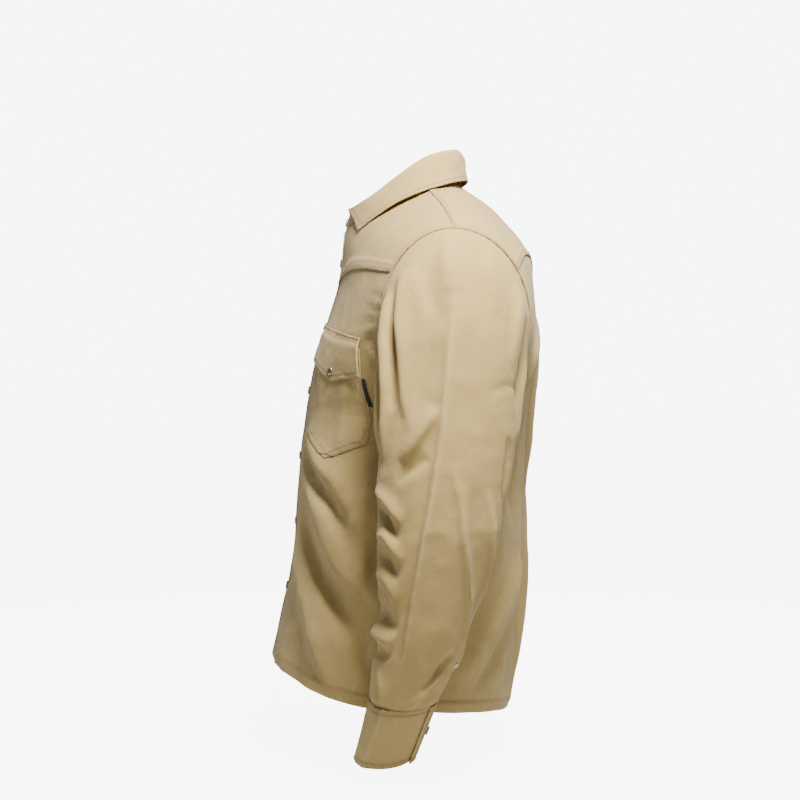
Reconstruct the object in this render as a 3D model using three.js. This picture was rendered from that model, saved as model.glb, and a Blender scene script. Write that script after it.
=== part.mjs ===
// A long-sleeved flame-resistant cotton welding shirt-jacket, standing as it hangs on a
// wearer with the arms down: western yokes, snap front, flapped chest pockets, shirt collar.
//
// Millimetres, +Z up, the wearer faces -Y and the wearer's left is +X. The origin is the nape:
// the neck seam at centre back. Each panel is a thin plate laid on one of the smooth surfaces
// that the drafting tables below describe, and the right side mirrors the left.
import * as THREE from "three";

// ---- Overall sizes -------------------------------------------------------------------------
const BACK_LENGTH = 706; // nape to hem, measured straight down
const HALF_WIDTH = 210; // centre line to side seam at the hem
const SLEEVE_LENGTH = 575; // shoulder point down to the cuff seam
const CUFF_LENGTH = 80;

// ---- Cloth and closures --------------------------------------------------------------------
const CLOTH = 2; // wall of a shell panel
const SEAM_GAP = 1; // between two panels that are sewn edge to edge
const STACK_GAP = 0.4; // between two pieces that lie on each other
const PANEL_GAP = 1.2; // between a curved panel and a piece that lies on it
const PLACKET_WIDTH = 36;
const PLACKET_CLOTH = 1.2;
const STAND_CLOTH = 1.6;
const STAND_LAP = 15; // each end of the collar stand passes centre front by this
const LEAF_CLOTH = 1.6;
const CUFF_CLOTH = 2;
const CUFF_LAP = 34;
const SLEEVE_PLACKET_WIDTH = 25;
const SLEEVE_PLACKET_LENGTH = 140;
const SNAP_RADIUS = 5.5;
const SNAP_HEIGHT = 2.4;
const STUD_RADIUS = 3.8;
const STUD_HEIGHT = 1.2;
const SNAP_PITCH = 89;
const FRONT_SNAPS = 6;
const FIRST_SNAP = 44; // neck seam down to the first front snap
const BUTTON_RADIUS = 5.6;
const BUTTON_HEIGHT = 2.2;

// ---- Chest pocket and its flap -------------------------------------------------------------
const POCKET_WIDTH = 130;
const POCKET_SIDE = 142; // flap seam to the pocket's bottom corners
const POCKET_POINT = 28; // the bottom point hangs below the corners
const POCKET_MOUTH = 14; // flap seam down to the pocket's open top edge
const POCKET_PUFF = 1.2; // how far the pocket's cloth stands off the panel
const POCKET_CLOTH = 1.5;
const POCKET_RIM = 7;
const FLAP_WIDTH = 134;
const FLAP_SIDE = 50;
const FLAP_POINT = 18;
const FLAP_CLOTH = 2;
const FLAP_SNAP_RISE = 14; // the snap's centre above the flap's point
const LABEL_LENGTH = 38;
const LABEL_PROUD = 7; // how far the side label sticks out of the pocket's seam
const LABEL_CLOTH = 0.8;
const NECK_LABEL = { width: 52, height: 30 };

// ---- Grading: the tables are drafted in one size and graded to the sizes above -------------
const DRAFT = { backLength: 706, halfWidth: 210, sleeveLength: 575 };
const wide = HALF_WIDTH / DRAFT.halfWidth;
const long = BACK_LENGTH / DRAFT.backLength;
const sleeveLong = SLEEVE_LENGTH / DRAFT.sleeveLength;
const body = ([x, y, z]) => new THREE.Vector3(x * wide, y, z * long);

// Half of the neck seam, from the nape round the left side to centre front.
const NECK_SEAM = [
  [0, 0, 0], [40, -6, -2], [67, -28, -9], [75, -60, -21], [68, -100, -40], [42, -133, -57], [0, -149, -66],
];
const SHOULDER_AT = 2.42; // where on NECK_SEAM the shoulder seam starts

// The armhole is an ellipse in a steep plane; angles run from its back edge over the top.
const ARMHOLE = { x: 206.5, y: -9, z: -202, lean: 11.5, half: 120, front: 92, rear: 97 };
const ARMHOLE_INSET = 2.5; // the body's edge stops this far inside the armhole's plane
const SLEEVE_OUTSET = 1; // and the sleeve's starts this far outside it

// Seam down the side, from the hem up to the armpit.
const SIDE_SEAM = [[212, -72, -680], [210, -55, -540], [205, -35, -425], [195, -9, -322]];

// A row of the body is a Bezier curve from its centre line or neck seam out to its side seam or
// armhole. inner and outer are the curve's two control points, one pair for each level.
const FRONT = {
  centre: [
    [0, -246, -638], [0, -220, -512], [0, -212, -400], [0, -199, -300],
    [0, -186, -232], [0, -158, -140], [0, -149, -66],
  ],
  armholeAngles: [270, 210, 165, 130, 110, 90],
  inner: [
    [117, -248, -642], [117, -220, -514], [118, -212, -402], [116, -199, -303], [100, -186, -237],
    [62, -157, -141], [40, -149, -66], [103, -92, -52], [116, -29, -31],
  ],
  outer: [
    [212, -166, -683], [210, -152, -540], [205, -142, -425], [194, -132, -322], [171, -136, -260],
    [155, -123, -164], [155, -92, -96], [167, -48, -67], [173, -11, -60],
  ],
};
const BACK = {
  centre: [
    [0, 72, -706], [0, 90, -553], [0, 93, -410], [0, 99, -310], [0, 107, -225],
    [0, 104, -145], [0, 95, -92], [0, 50, -38], [0, 0, 0],
  ],
  armholeAngles: [-90, -30, 15, 42, 62, 78, 90],
  inner: [
    [117, 72, -702], [115, 90, -551], [113, 93, -410], [112, 99, -310], [110, 107, -225],
    [105, 104, -145], [92, 97, -96], [66, 58, -48], [45, 6, -9], [116, -29, -31],
  ],
  outer: [
    [212, 7, -686], [210, 25, -540], [205, 40, -425], [190, 62, -322], [160, 93, -262],
    [150, 94, -166], [154, 79, -112], [157, 46, -78], [168, 13, -63], [173, -11, -60],
  ],
};

// Rings of the sleeve from armhole to cuff seam, then the cuff's end: the point under the arm,
// the point on its outside, the ring's middle in Y, and its half widths to front and rear.
const SLEEVE_RINGS = [
  { under: [195, -322], outer: [218, -82], y: -9, front: 92, rear: 97 },
  { under: [204, -336], outer: [262, -132], y: -10, front: 90, rear: 88 },
  { under: [210, -355], outer: [290, -205], y: -13, front: 87, rear: 82 },
  { under: [216, -388], outer: [308, -300], y: -19, front: 82, rear: 83 },
  { under: [222, -420], outer: [323, -388], y: -24, front: 78, rear: 78 },
  { under: [228, -490], outer: [331, -478], y: -30, front: 70, rear: 70 },
  { under: [232, -572], outer: [321, -582], y: -49, front: 54, rear: 53 },
  { under: [226, -648], outer: [302, -666], y: -70, front: 43, rear: 42 },
];
const CUFF_SEAM = SLEEVE_RINGS.length - 1;
const CUFF_END = { under: [210, -728], outer: [278, -748], y: -96, front: 37, rear: 37 };

// Half of the collar's fold line and of the leaf's free edge, nape to front.
const FOLD_LINE = [
  [0, 2, 42], [36, -6, 39], [60, -38, 28], [66, -70, 7], [60, -106, -20], [44, -129, -33], [16, -144, -38],
];
const LEAF_EDGE = [
  [0, 16, 1], [44, 8, -3], [78, -12, -11], [98, -42, -22], [102, -76, -37], [93, -102, -53], [70, -129, -71],
];
const LEAF_ROLL = 5; // how far the leaf swells out between fold and edge

// ---- Curves --------------------------------------------------------------------------------
// Smooth curve through evenly spaced knots (arrays of numbers); t runs from 0 to their count - 1.
function through(knots, t) {
  const last = knots.length - 1;
  const i = Math.max(0, Math.min(Math.floor(t), last - 1));
  const f = t - i;
  const knot = (k, axis) => {
    if (k < 0) return 2 * knots[0][axis] - knots[1][axis];
    if (k > last) return 2 * knots[last][axis] - knots[last - 1][axis];
    return knots[k][axis];
  };
  return knots[0].map((_, axis) => {
    const [a, b, c, d] = [i - 1, i, i + 1, i + 2].map((k) => knot(k, axis));
    return b + 0.5 * f * (c - a + f * (2 * a - 5 * b + 4 * c - d + f * (3 * (b - c) + d - a)));
  });
}

// The same, through half a curve that meets its mirror image smoothly on the centre line.
function throughHalf(half, t) {
  const flip = ([x, y, z]) => [-x, y, z];
  const tail = half.at(-1)[0] === 0 ? [flip(half.at(-2))] : [];
  return through([flip(half[1]), ...half, ...tail], t + 1);
}

const mirrored = (p) => new THREE.Vector3(-p.x, p.y, p.z);
const neckSeam = (t) => body(throughHalf(NECK_SEAM, t));

function armholePoint(degrees) {
  const angle = THREE.MathUtils.degToRad(degrees);
  const reach = Math.cos(angle) > 0 ? ARMHOLE.rear : ARMHOLE.front;
  const rise = Math.sin(angle);
  return body([
    ARMHOLE.x + ARMHOLE.lean * rise,
    ARMHOLE.y + reach * Math.cos(angle),
    ARMHOLE.z + ARMHOLE.half * rise,
  ]);
}

// ---- Surfaces: each takes two numbers and gives a point ------------------------------------
// Body surface: across runs 0 to 1 from the centre to the side, level climbs from the hem.
function bodySurface(draft, across, level) {
  const neckLevel = draft.centre.length - 1;
  const topLevel = draft.inner.length - 1;
  const armpit = SIDE_SEAM.length - 1;
  const neckEnd = draft === FRONT ? NECK_SEAM.length - 1 : 0;
  const climb = (level - neckLevel) / (topLevel - neckLevel);
  const start = level <= neckLevel
    ? body(through(draft.centre, level))
    : neckSeam(THREE.MathUtils.lerp(neckEnd, SHOULDER_AT, climb));
  const angles = draft.armholeAngles.map((degrees) => [degrees]);
  const end = level <= armpit
    ? body(through(SIDE_SEAM, level))
    : armholePoint(through(angles, level - armpit)[0]);
  end.x -= ARMHOLE_INSET;
  const inner = body(through(draft.inner, level));
  const outer = body(through(draft.outer, level));
  return new THREE.CubicBezierCurve3(start, inner, outer, end).getPoint(across);
}

// The whole front or back, where across runs from -1 at one side seam to 1 at the other, in
// the direction that makes the surface's outside face out.
function wholeBody(draft, across, level) {
  const signed = draft === FRONT ? across : -across;
  const p = bodySurface(draft, Math.abs(signed), level);
  return signed < 0 ? mirrored(p) : p;
}

// A ring's free share is 0 at the armhole, where it grades with the body it is sewn to, and 1
// from the third ring down, where it grades with the sleeve's own length.
function ringPoint(ring, turn) {
  const angle = turn * 2 * Math.PI;
  const reach = Math.cos(angle) > 0 ? ring.rear : ring.front;
  const part = (1 + Math.sin(angle)) / 2;
  const shoulder = ARMHOLE.z + ARMHOLE.half;
  const drop = (z) => z * long + ring.free * (z - shoulder) * (sleeveLong - long);
  const out = (x) => THREE.MathUtils.lerp(x * wide, x + HALF_WIDTH - DRAFT.halfWidth, ring.free);
  return new THREE.Vector3(
    out(THREE.MathUtils.lerp(ring.under[0], ring.outer[0], part)) + SLEEVE_OUTSET,
    ring.y + reach * Math.cos(angle),
    drop(THREE.MathUtils.lerp(ring.under[1], ring.outer[1], part)),
  );
}

// Sleeve surface: turn 0 is the back of the arm and 0.25 its outside; along counts the rings.
function sleeveSurface(turn, along) {
  const numbers = SLEEVE_RINGS.map((r) => [...r.under, ...r.outer, r.y, r.front, r.rear]);
  const [ux, uz, ox, oz, y, front, rear] = through(numbers, along);
  const free = THREE.MathUtils.smoothstep(along, 0, 3);
  return ringPoint({ under: [ux, uz], outer: [ox, oz], y, front, rear, free }, turn);
}

function cuffSurface(turn, along) {
  const seam = ringPoint({ ...SLEEVE_RINGS[CUFF_SEAM], free: 1 }, turn);
  const way = ringPoint({ ...CUFF_END, free: 1 }, turn).sub(seam).normalize();
  return seam.addScaledVector(way, along * CUFF_LENGTH);
}

// Collar curves: around runs from -1 at right centre front over the nape to 1 at left.
function halfCurve(curve, around) {
  const past = Math.abs(around) > 1;
  const share = past ? 2 - Math.abs(around) : Math.abs(around);
  const p = curve(share);
  return around < 0 !== past ? mirrored(p) : p;
}
const ofTable = (table) => (share) => body(throughHalf(table, share * (table.length - 1)));

function standSurface(around, up) {
  const foot = halfCurve(ofTable(NECK_SEAM), around);
  const top = halfCurve(ofTable([...FOLD_LINE.slice(0, -1), [0, -143, -40]]), around);
  return foot.lerp(top, up);
}

function leafSurface(around, down) {
  const fold = halfCurve(ofTable(FOLD_LINE), around);
  const edge = halfCurve(ofTable(LEAF_EDGE), around);
  const out = edge.clone().sub(fold).setZ(0).normalize();
  const bulge = LEAF_ROLL * Math.sin(Math.PI * THREE.MathUtils.clamp(down, 0, 1) ** 0.6);
  return fold.lerp(edge, down).addScaledVector(out, bulge);
}

// Distance travelled on a surface along its first or second number, in equal steps whose
// speed is read half way.
function walk(surface, from, axis, mm) {
  const steps = 12;
  const nudge = 1e-3;
  const at = [...from];
  const speedAt = (value) => {
    const [here, ahead] = [[...at], [...at]];
    here[axis] = value;
    ahead[axis] = value + nudge;
    return surface(...ahead).distanceTo(surface(...here)) / nudge;
  };
  for (let i = 0; i < steps; i++) {
    const half = at[axis] + mm / steps / speedAt(at[axis]) / 2;
    at[axis] += mm / steps / speedAt(half);
  }
  return at;
}

// ---- Solids --------------------------------------------------------------------------------
const constant = (value) => (typeof value === "function" ? value : () => value);

function normalAt(surface, a, b) {
  const step = 1e-3;
  const along = surface(a + step, b).sub(surface(a - step, b));
  const up = surface(a, b + step).sub(surface(a, b - step));
  return along.cross(up).normalize();
}

// A closed solid between two offsets from a surface, over 0..1 by 0..1 of it. A tube's first
// number is a turn, so its ends meet.
function plate(surface, { cells: [na, nb], low = -CLOTH, high = 0, tube = false }) {
  const points = [];
  const [lowAt, highAt] = [constant(low), constant(high)];
  const columns = tube ? na : na + 1;
  for (const offset of [highAt, lowAt]) {
    for (let j = 0; j <= nb; j++) {
      for (let i = 0; i < columns; i++) {
        const [a, b] = [i / na, j / nb];
        const p = surface(a, b).addScaledVector(normalAt(surface, a, b), offset(a, b));
        points.push(p.x, p.y, p.z);
      }
    }
  }
  const layer = columns * (nb + 1);
  const at = (i, j, side) => side * layer + j * columns + (i % columns);
  const faces = [];
  const quad = (p, q, r, s) => faces.push(p, q, r, p, r, s);
  for (let j = 0; j < nb; j++) {
    for (let i = 0; i < na; i++) {
      quad(at(i, j, 0), at(i + 1, j, 0), at(i + 1, j + 1, 0), at(i, j + 1, 0));
      quad(at(i, j, 1), at(i, j + 1, 1), at(i + 1, j + 1, 1), at(i + 1, j, 1));
    }
  }
  for (let i = 0; i < na; i++) {
    quad(at(i, 0, 0), at(i, 0, 1), at(i + 1, 0, 1), at(i + 1, 0, 0));
    quad(at(i, nb, 0), at(i + 1, nb, 0), at(i + 1, nb, 1), at(i, nb, 1));
  }
  for (let j = 0; j < nb && !tube; j++) {
    quad(at(0, j, 0), at(0, j + 1, 0), at(0, j + 1, 1), at(0, j, 1));
    quad(at(na, j, 0), at(na, j, 1), at(na, j + 1, 1), at(na, j + 1, 0));
  }
  const geometry = new THREE.BufferGeometry();
  geometry.setAttribute("position", new THREE.Float32BufferAttribute(points, 3));
  geometry.setIndex(faces);
  return geometry;
}

// The same solid on the other side of the body.
function mirroredGeometry(geometry) {
  const copy = geometry.clone().scale(-1, 1, 1);
  const index = [...copy.index.array];
  for (let i = 0; i < index.length; i += 3) [index[i], index[i + 1]] = [index[i + 1], index[i]];
  copy.setIndex(index);
  return copy;
}

const jacket = new THREE.Group();
const materials = {
  cloth: new THREE.MeshStandardMaterial({ color: 0xc6b088, roughness: 0.9 }),
  label: new THREE.MeshStandardMaterial({ color: 0x0c0c0e, roughness: 0.8 }),
  neckLabel: new THREE.MeshStandardMaterial({ color: 0xe6e2d6, roughness: 0.85 }),
  metal: new THREE.MeshStandardMaterial({ color: 0xb9b3a6, roughness: 0.3, metalness: 1 }),
  button: new THREE.MeshStandardMaterial({ color: 0xd8c9a8, roughness: 0.35 }),
};

function add(name, geometry, material = materials.cloth) {
  const mesh = new THREE.Mesh(geometry, material);
  mesh.name = name;
  jacket.add(mesh);
  return mesh;
}

function addPair(name, geometry, material) {
  add(`${name}_left`, geometry, material);
  add(`${name}_right`, mirroredGeometry(geometry), material);
}

// ---- Body panels ---------------------------------------------------------------------------
// Yoke seams, as the level that they reach at each share of the way to the armhole.
const frontYokeLevel = (across) => 5 + 0.5 * across + 0.12 * Math.sin(Math.PI * across);
const backYokeLevel = (across) => through([[5.42], [5.8], [5.98], [5.9], [5.74]], Math.abs(across) * 4)[0];
const NECK_LEVEL = { front: FRONT.centre.length - 1, back: BACK.centre.length - 1 };
const TOP_LEVEL = { front: FRONT.inner.length - 1, back: BACK.inner.length - 1 };
const NECK_SHARE = 0.35; // of a yoke's width is spent on the neck seam, the rest on the shoulder
const frontSurface = (across, level) => wholeBody(FRONT, across, level);
const backSurface = (across, level) => wholeBody(BACK, across, level);

// A level moved up or down by a distance, and an across moved in from the side seam's edge.
const levelBy = (surface, across, level, mm) => walk(surface, [across, level], 1, mm)[1];
const sideEdge = (surface, level) =>
  level < SIDE_SEAM.length - 1 ? walk(surface, [1, level], 0, -SEAM_GAP / 2)[0] : 1;
const placketEdge = (level) => walk(frontSurface, [0, level], 0, PLACKET_WIDTH / 2 + SEAM_GAP)[0];

function frontPanelSurface(a, b) {
  const seam = (across) => levelBy(frontSurface, across, frontYokeLevel(across), -SEAM_GAP / 2);
  const rough = seam(a) * b;
  const across = THREE.MathUtils.lerp(placketEdge(rough), sideEdge(frontSurface, rough), a);
  return frontSurface(across, seam(across) * b);
}

// The front yoke starts at the placket and, above it, at the neck seam.
function frontYokeSurface(a, b) {
  const top = levelBy(frontSurface, 0.5, TOP_LEVEL.front, -SEAM_GAP);
  const neck = Math.min(1, a / NECK_SHARE);
  const shoulder = Math.max(0, (a - NECK_SHARE) / (1 - NECK_SHARE));
  const foot = THREE.MathUtils.lerp(placketEdge(5), 1, a);
  const seam = levelBy(frontSurface, foot, frontYokeLevel(foot), SEAM_GAP / 2);
  const level = THREE.MathUtils.lerp(seam, THREE.MathUtils.lerp(NECK_LEVEL.front, top, neck), b);
  const climb = Math.max(0, level - NECK_LEVEL.front) / (top - NECK_LEVEL.front);
  const inner = placketEdge(Math.min(level, NECK_LEVEL.front)) * (1 - climb) ** 2;
  return frontSurface(THREE.MathUtils.lerp(inner, 1, THREE.MathUtils.lerp(a, shoulder, b)), level);
}

function backPanelSurface(a, b) {
  const side = 2 * a - 1;
  const seam = (across) => levelBy(backSurface, across, backYokeLevel(across), -SEAM_GAP / 2);
  const across = side * sideEdge((x, level) => bodySurface(BACK, x, level), seam(side) * b);
  return backSurface(across, seam(across) * b);
}

// The back yoke's upper edge follows one shoulder, the neck seam and the other shoulder.
function backYokeSurface(a, b) {
  const across = 2 * a - 1;
  const top = levelBy(backSurface, 0.5, TOP_LEVEL.back, -SEAM_GAP);
  const neck = Math.min(1, Math.abs(across) / NECK_SHARE);
  const shoulder = Math.max(0, (Math.abs(across) - NECK_SHARE) / (1 - NECK_SHARE));
  const upper = [Math.sign(across) * shoulder, THREE.MathUtils.lerp(NECK_LEVEL.back, top, neck)];
  const seam = levelBy(backSurface, across, backYokeLevel(across), SEAM_GAP / 2);
  const level = THREE.MathUtils.lerp(seam, upper[1], b);
  const x = THREE.MathUtils.lerp(across, upper[0], b);
  return across < 0 ? mirrored(bodySurface(BACK, -x, level)) : bodySurface(BACK, x, level);
}

addPair("front_panel", plate(frontPanelSurface, { cells: [12, 16] }));
addPair("front_yoke", plate(frontYokeSurface, { cells: [10, 8] }));
add("back_panel", plate((a, b) => backPanelSurface(1 - a, b), { cells: [16, 13] }));
add("back_yoke", plate((a, b) => backYokeSurface(1 - a, b), { cells: [20, 8] }));

// ---- Snaps ---------------------------------------------------------------------------------
// A turned piece standing on a surface point, its axis along the normal there.
function turned(profile, at, normal, lift) {
  const geometry = new THREE.LatheGeometry(profile.map(([r, h]) => new THREE.Vector2(r, h)), 14);
  const up = new THREE.Vector3(0, 1, 0);
  geometry.applyQuaternion(new THREE.Quaternion().setFromUnitVectors(up, normal));
  const foot = at.clone().addScaledVector(normal, lift);
  return geometry.translate(foot.x, foot.y, foot.z);
}
const CAP_PROFILE = [
  [0, 0], [SNAP_RADIUS, 0], [SNAP_RADIUS, 0.5 * SNAP_HEIGHT], [0.8 * SNAP_RADIUS, SNAP_HEIGHT],
  [0.5 * SNAP_RADIUS, 0.7 * SNAP_HEIGHT], [0, 0.7 * SNAP_HEIGHT],
];
const STUD_PROFILE = [
  [0, 0], [STUD_RADIUS, 0], [STUD_RADIUS, 0.6 * STUD_HEIGHT], [0.75 * STUD_RADIUS, STUD_HEIGHT], [0, STUD_HEIGHT],
];
const BUTTON_PROFILE = [[0, 0], [BUTTON_RADIUS, 0], [BUTTON_RADIUS, 0.7 * BUTTON_HEIGHT], [0.8 * BUTTON_RADIUS, BUTTON_HEIGHT], [0, BUTTON_HEIGHT]];
const STUD_ROOM = STUD_HEIGHT + 2 * STACK_GAP; // between two layers that a stud holds together

// Cap on the outer layer and stud on the layer under it, at one point of a surface.
function snap(surface, [a, b], outerFace, outerCloth, profile = CAP_PROFILE) {
  const at = surface(a, b);
  const normal = normalAt(surface, a, b);
  return {
    cap: turned(profile, at, normal, outerFace + STACK_GAP),
    stud: turned(STUD_PROFILE, at, normal, outerFace - outerCloth - STACK_GAP - STUD_HEIGHT),
  };
}

// ---- Plackets ------------------------------------------------------------------------------
const OVER_FACE = 0.7; // the over placket's face above the front panels' faces
const UNDER_FACE = OVER_FACE - PLACKET_CLOTH - STUD_ROOM;
function placketSurface(a, b) {
  const level = b * levelBy(frontSurface, 0, NECK_LEVEL.front, -SEAM_GAP);
  const half = placketEdge(level) * (PLACKET_WIDTH / 2) / (PLACKET_WIDTH / 2 + SEAM_GAP);
  return frontSurface(THREE.MathUtils.lerp(-half, half, a), level);
}
add("placket_left", plate(placketSurface, { cells: [3, 36], low: OVER_FACE - PLACKET_CLOTH, high: OVER_FACE }));
add("placket_right", plate(placketSurface, { cells: [3, 36], low: UNDER_FACE - PLACKET_CLOTH, high: UNDER_FACE }));
for (let i = 0; i < FRONT_SNAPS; i++) {
  const level = levelBy(frontSurface, 0, NECK_LEVEL.front, -(FIRST_SNAP + i * SNAP_PITCH));
  const { cap, stud } = snap(frontSurface, [0, level], OVER_FACE, PLACKET_CLOTH);
  add(`front_snap_cap_${i + 1}`, cap, materials.metal);
  add(`front_snap_stud_${i + 1}`, stud, materials.metal);
}

// ---- Collar --------------------------------------------------------------------------------
const standLength = 2 * 236; // round the neck seam, centre front to centre front
const standEnd = 1 + (2 * STAND_LAP) / standLength;
const standUnder = (a) => -(STAND_CLOTH + STUD_ROOM) * THREE.MathUtils.smoothstep(a, 0.7, 0.9);
const stand = (a, b) => standSurface(THREE.MathUtils.lerp(standEnd, -standEnd, a), 0.05 + 0.87 * b);
add("collar_stand", plate(stand, {
  cells: [60, 2],
  low: (a) => standUnder(a) - STAND_CLOTH,
  high: (a) => standUnder(a),
}));
const standSnap = snap(stand, [(standEnd - 1) / (2 * standEnd), 0.5], 0, STAND_CLOTH, BUTTON_PROFILE);
add("stand_snap_cap", standSnap.cap, materials.button);
add("stand_snap_stud", standSnap.stud, materials.metal);
add("collar_leaf", plate((a, b) => leafSurface(1 - 2 * a, 1 - b), { cells: [52, 5], low: 0.3, high: LEAF_CLOTH + 0.3 }));

// ---- Sleeves and cuffs ---------------------------------------------------------------------
const TURN_OF_SLIT = 0.03; // the slit and the cuff's lap lie just outside the back of the arm
const sleeveEnd = walk(sleeveSurface, [0, CUFF_SEAM], 1, -SEAM_GAP)[1];
const sleeve = (a, b) => sleeveSurface(a, b * sleeveEnd);
addPair("sleeve", plate(sleeve, { cells: [24, 17], tube: true }));

const turnPerMm = (ring) => 1 / (2 * Math.PI * Math.sqrt((((ring.outer[0] - ring.under[0]) / 2) ** 2 + ring.rear ** 2) / 2));
const cuffLap = CUFF_LAP * turnPerMm(CUFF_END);
const cuffTurn = (a) => TURN_OF_SLIT - cuffLap / 2 + a * (1 + cuffLap);
const cuff = (a, b) => cuffSurface(cuffTurn(a), b);
const cuffUnder = (a) => -(CUFF_CLOTH + STUD_ROOM) * (1 - THREE.MathUtils.smoothstep(a, 0.13, 0.45));
addPair("cuff", plate(cuff, {
  cells: [30, 3],
  low: (a) => cuffUnder(a) - CUFF_CLOTH,
  high: (a) => cuffUnder(a),
}));
const cuffSnap = snap(cuff, [1 - cuffLap / 2 / (1 + cuffLap), 0.5], 0, CUFF_CLOTH);
addPair("cuff_snap_cap", cuffSnap.cap, materials.metal);
addPair("cuff_snap_stud", cuffSnap.stud, materials.metal);

const PLACKET_FACE = STUD_ROOM + PLACKET_CLOTH;
function sleevePlacketSurface(a, b) {
  const along = walk(sleeveSurface, [TURN_OF_SLIT, sleeveEnd], 1, -b * SLEEVE_PLACKET_LENGTH)[1];
  const half = walk(sleeveSurface, [TURN_OF_SLIT, along], 0, SLEEVE_PLACKET_WIDTH / 2)[0] - TURN_OF_SLIT;
  return sleeveSurface(THREE.MathUtils.lerp(TURN_OF_SLIT + half, TURN_OF_SLIT - half, a), along);
}
addPair("sleeve_placket", plate(sleevePlacketSurface, {
  cells: [3, 6], low: PLACKET_FACE - PLACKET_CLOTH, high: PLACKET_FACE,
}));
const slitSnap = snap(sleevePlacketSurface, [0.5, 0.36], PLACKET_FACE, PLACKET_CLOTH);
addPair("sleeve_snap_cap", slitSnap.cap, materials.metal);
addPair("sleeve_snap_stud", slitSnap.stud, materials.metal);

// ---- Chest pockets, flaps and labels -------------------------------------------------------
const POCKET_AT = { across: 0.448, level: 4.43 }; // middle of the flap's seam
const POCKET_FACE = PANEL_GAP + POCKET_CLOTH;
const FLAP_FOOT = POCKET_FACE + POCKET_PUFF + STUD_ROOM;
const onPanel = (x, down) => {
  const level = levelBy(frontSurface, POCKET_AT.across, POCKET_AT.level, -down);
  return frontSurface(walk(frontSurface, [POCKET_AT.across, level], 0, x)[0], level);
};
const pointed = (a) => 1 - Math.abs(2 * a - 1);
const away = (t, reach) => THREE.MathUtils.smoothstep(t, 0, reach);

const pocket = (a, b) =>
  onPanel((a - 0.5) * POCKET_WIDTH, THREE.MathUtils.lerp(POCKET_SIDE + POCKET_POINT * pointed(a), POCKET_MOUTH, b));
const puff = (a, b) =>
  POCKET_PUFF * away(Math.min(a, 1 - a) * POCKET_WIDTH, 2 * POCKET_RIM) * away(b * POCKET_SIDE, 2 * POCKET_RIM);
addPair("pocket", plate(pocket, {
  cells: [8, 8], low: (a, b) => PANEL_GAP + puff(a, b), high: (a, b) => POCKET_FACE + puff(a, b),
}));

const flap = (a, b) => onPanel((a - 0.5) * FLAP_WIDTH, (FLAP_SIDE + FLAP_POINT * pointed(a)) * (1 - b));
const flapHeight = FLAP_SIDE + FLAP_POINT;
const flapLift = (b) =>
  THREE.MathUtils.lerp(PANEL_GAP, FLAP_FOOT, away((1 - b) * flapHeight, POCKET_MOUTH));
addPair("pocket_flap", plate(flap, {
  cells: [8, 8], low: (a, b) => flapLift(b), high: (a, b) => flapLift(b) + FLAP_CLOTH,
}));
const flapSnapAt = FLAP_SNAP_RISE / flapHeight;
const flapSnap = snap(flap, [0.5, flapSnapAt], flapLift(flapSnapAt) + FLAP_CLOTH, FLAP_CLOTH);
addPair("pocket_snap_cap", flapSnap.cap, materials.metal);
addPair("pocket_snap_stud", flapSnap.stud, materials.metal);

add("pocket_label", plate(
  (a, b) => onPanel(POCKET_WIDTH / 2 + SEAM_GAP + a * LABEL_PROUD, FLAP_SIDE + LABEL_LENGTH * (1 - b)),
  { cells: [2, 3], low: PANEL_GAP, high: PANEL_GAP + LABEL_CLOTH },
), materials.label);
add("neck_label", plate(
  (a, b) => {
    const level = levelBy(backSurface, 0, NECK_LEVEL.back, -12 - NECK_LABEL.height * (1 - b));
    return backSurface(walk(backSurface, [0, level], 0, (a - 0.5) * NECK_LABEL.width)[0], level);
  },
  { cells: [4, 3], low: -CLOTH - PANEL_GAP - LABEL_CLOTH, high: -CLOTH - PANEL_GAP },
), materials.neckLabel);

export default jacket;
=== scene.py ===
# %% [markdown]
# # A welder's cotton shirt-jacket
# The real garment is heavy khaki twill: western yokes, a snap front, flapped chest pockets, a
# shirt collar and cuffed sleeves. It stands here as it hangs on a wearer who isn't shown. The
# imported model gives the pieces, their bodies and joints; this script sews the visible cloth.

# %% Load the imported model
import math
import bpy
import numpy as np
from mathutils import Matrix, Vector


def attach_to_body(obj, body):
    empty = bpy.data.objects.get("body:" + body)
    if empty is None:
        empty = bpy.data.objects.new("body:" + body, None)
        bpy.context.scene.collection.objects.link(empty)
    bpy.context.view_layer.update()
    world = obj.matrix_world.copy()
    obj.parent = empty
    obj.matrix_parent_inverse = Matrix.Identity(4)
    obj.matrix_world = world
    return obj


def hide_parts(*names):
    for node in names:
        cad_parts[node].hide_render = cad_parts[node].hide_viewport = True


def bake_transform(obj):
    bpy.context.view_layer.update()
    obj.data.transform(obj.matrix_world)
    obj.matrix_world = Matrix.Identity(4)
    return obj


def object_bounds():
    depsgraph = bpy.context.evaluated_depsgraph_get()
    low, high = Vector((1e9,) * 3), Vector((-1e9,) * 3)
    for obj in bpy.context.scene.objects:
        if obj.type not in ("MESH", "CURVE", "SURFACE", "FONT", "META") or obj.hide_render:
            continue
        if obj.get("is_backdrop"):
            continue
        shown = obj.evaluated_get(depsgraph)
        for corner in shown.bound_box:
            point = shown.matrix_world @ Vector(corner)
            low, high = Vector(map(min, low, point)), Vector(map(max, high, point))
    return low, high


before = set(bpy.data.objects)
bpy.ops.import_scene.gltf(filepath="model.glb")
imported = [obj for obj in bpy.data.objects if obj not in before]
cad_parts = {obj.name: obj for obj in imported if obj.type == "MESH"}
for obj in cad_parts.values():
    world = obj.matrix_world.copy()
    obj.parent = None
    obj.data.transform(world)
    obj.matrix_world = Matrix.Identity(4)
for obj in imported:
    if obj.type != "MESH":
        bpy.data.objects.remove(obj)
cad_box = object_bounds()

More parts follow.
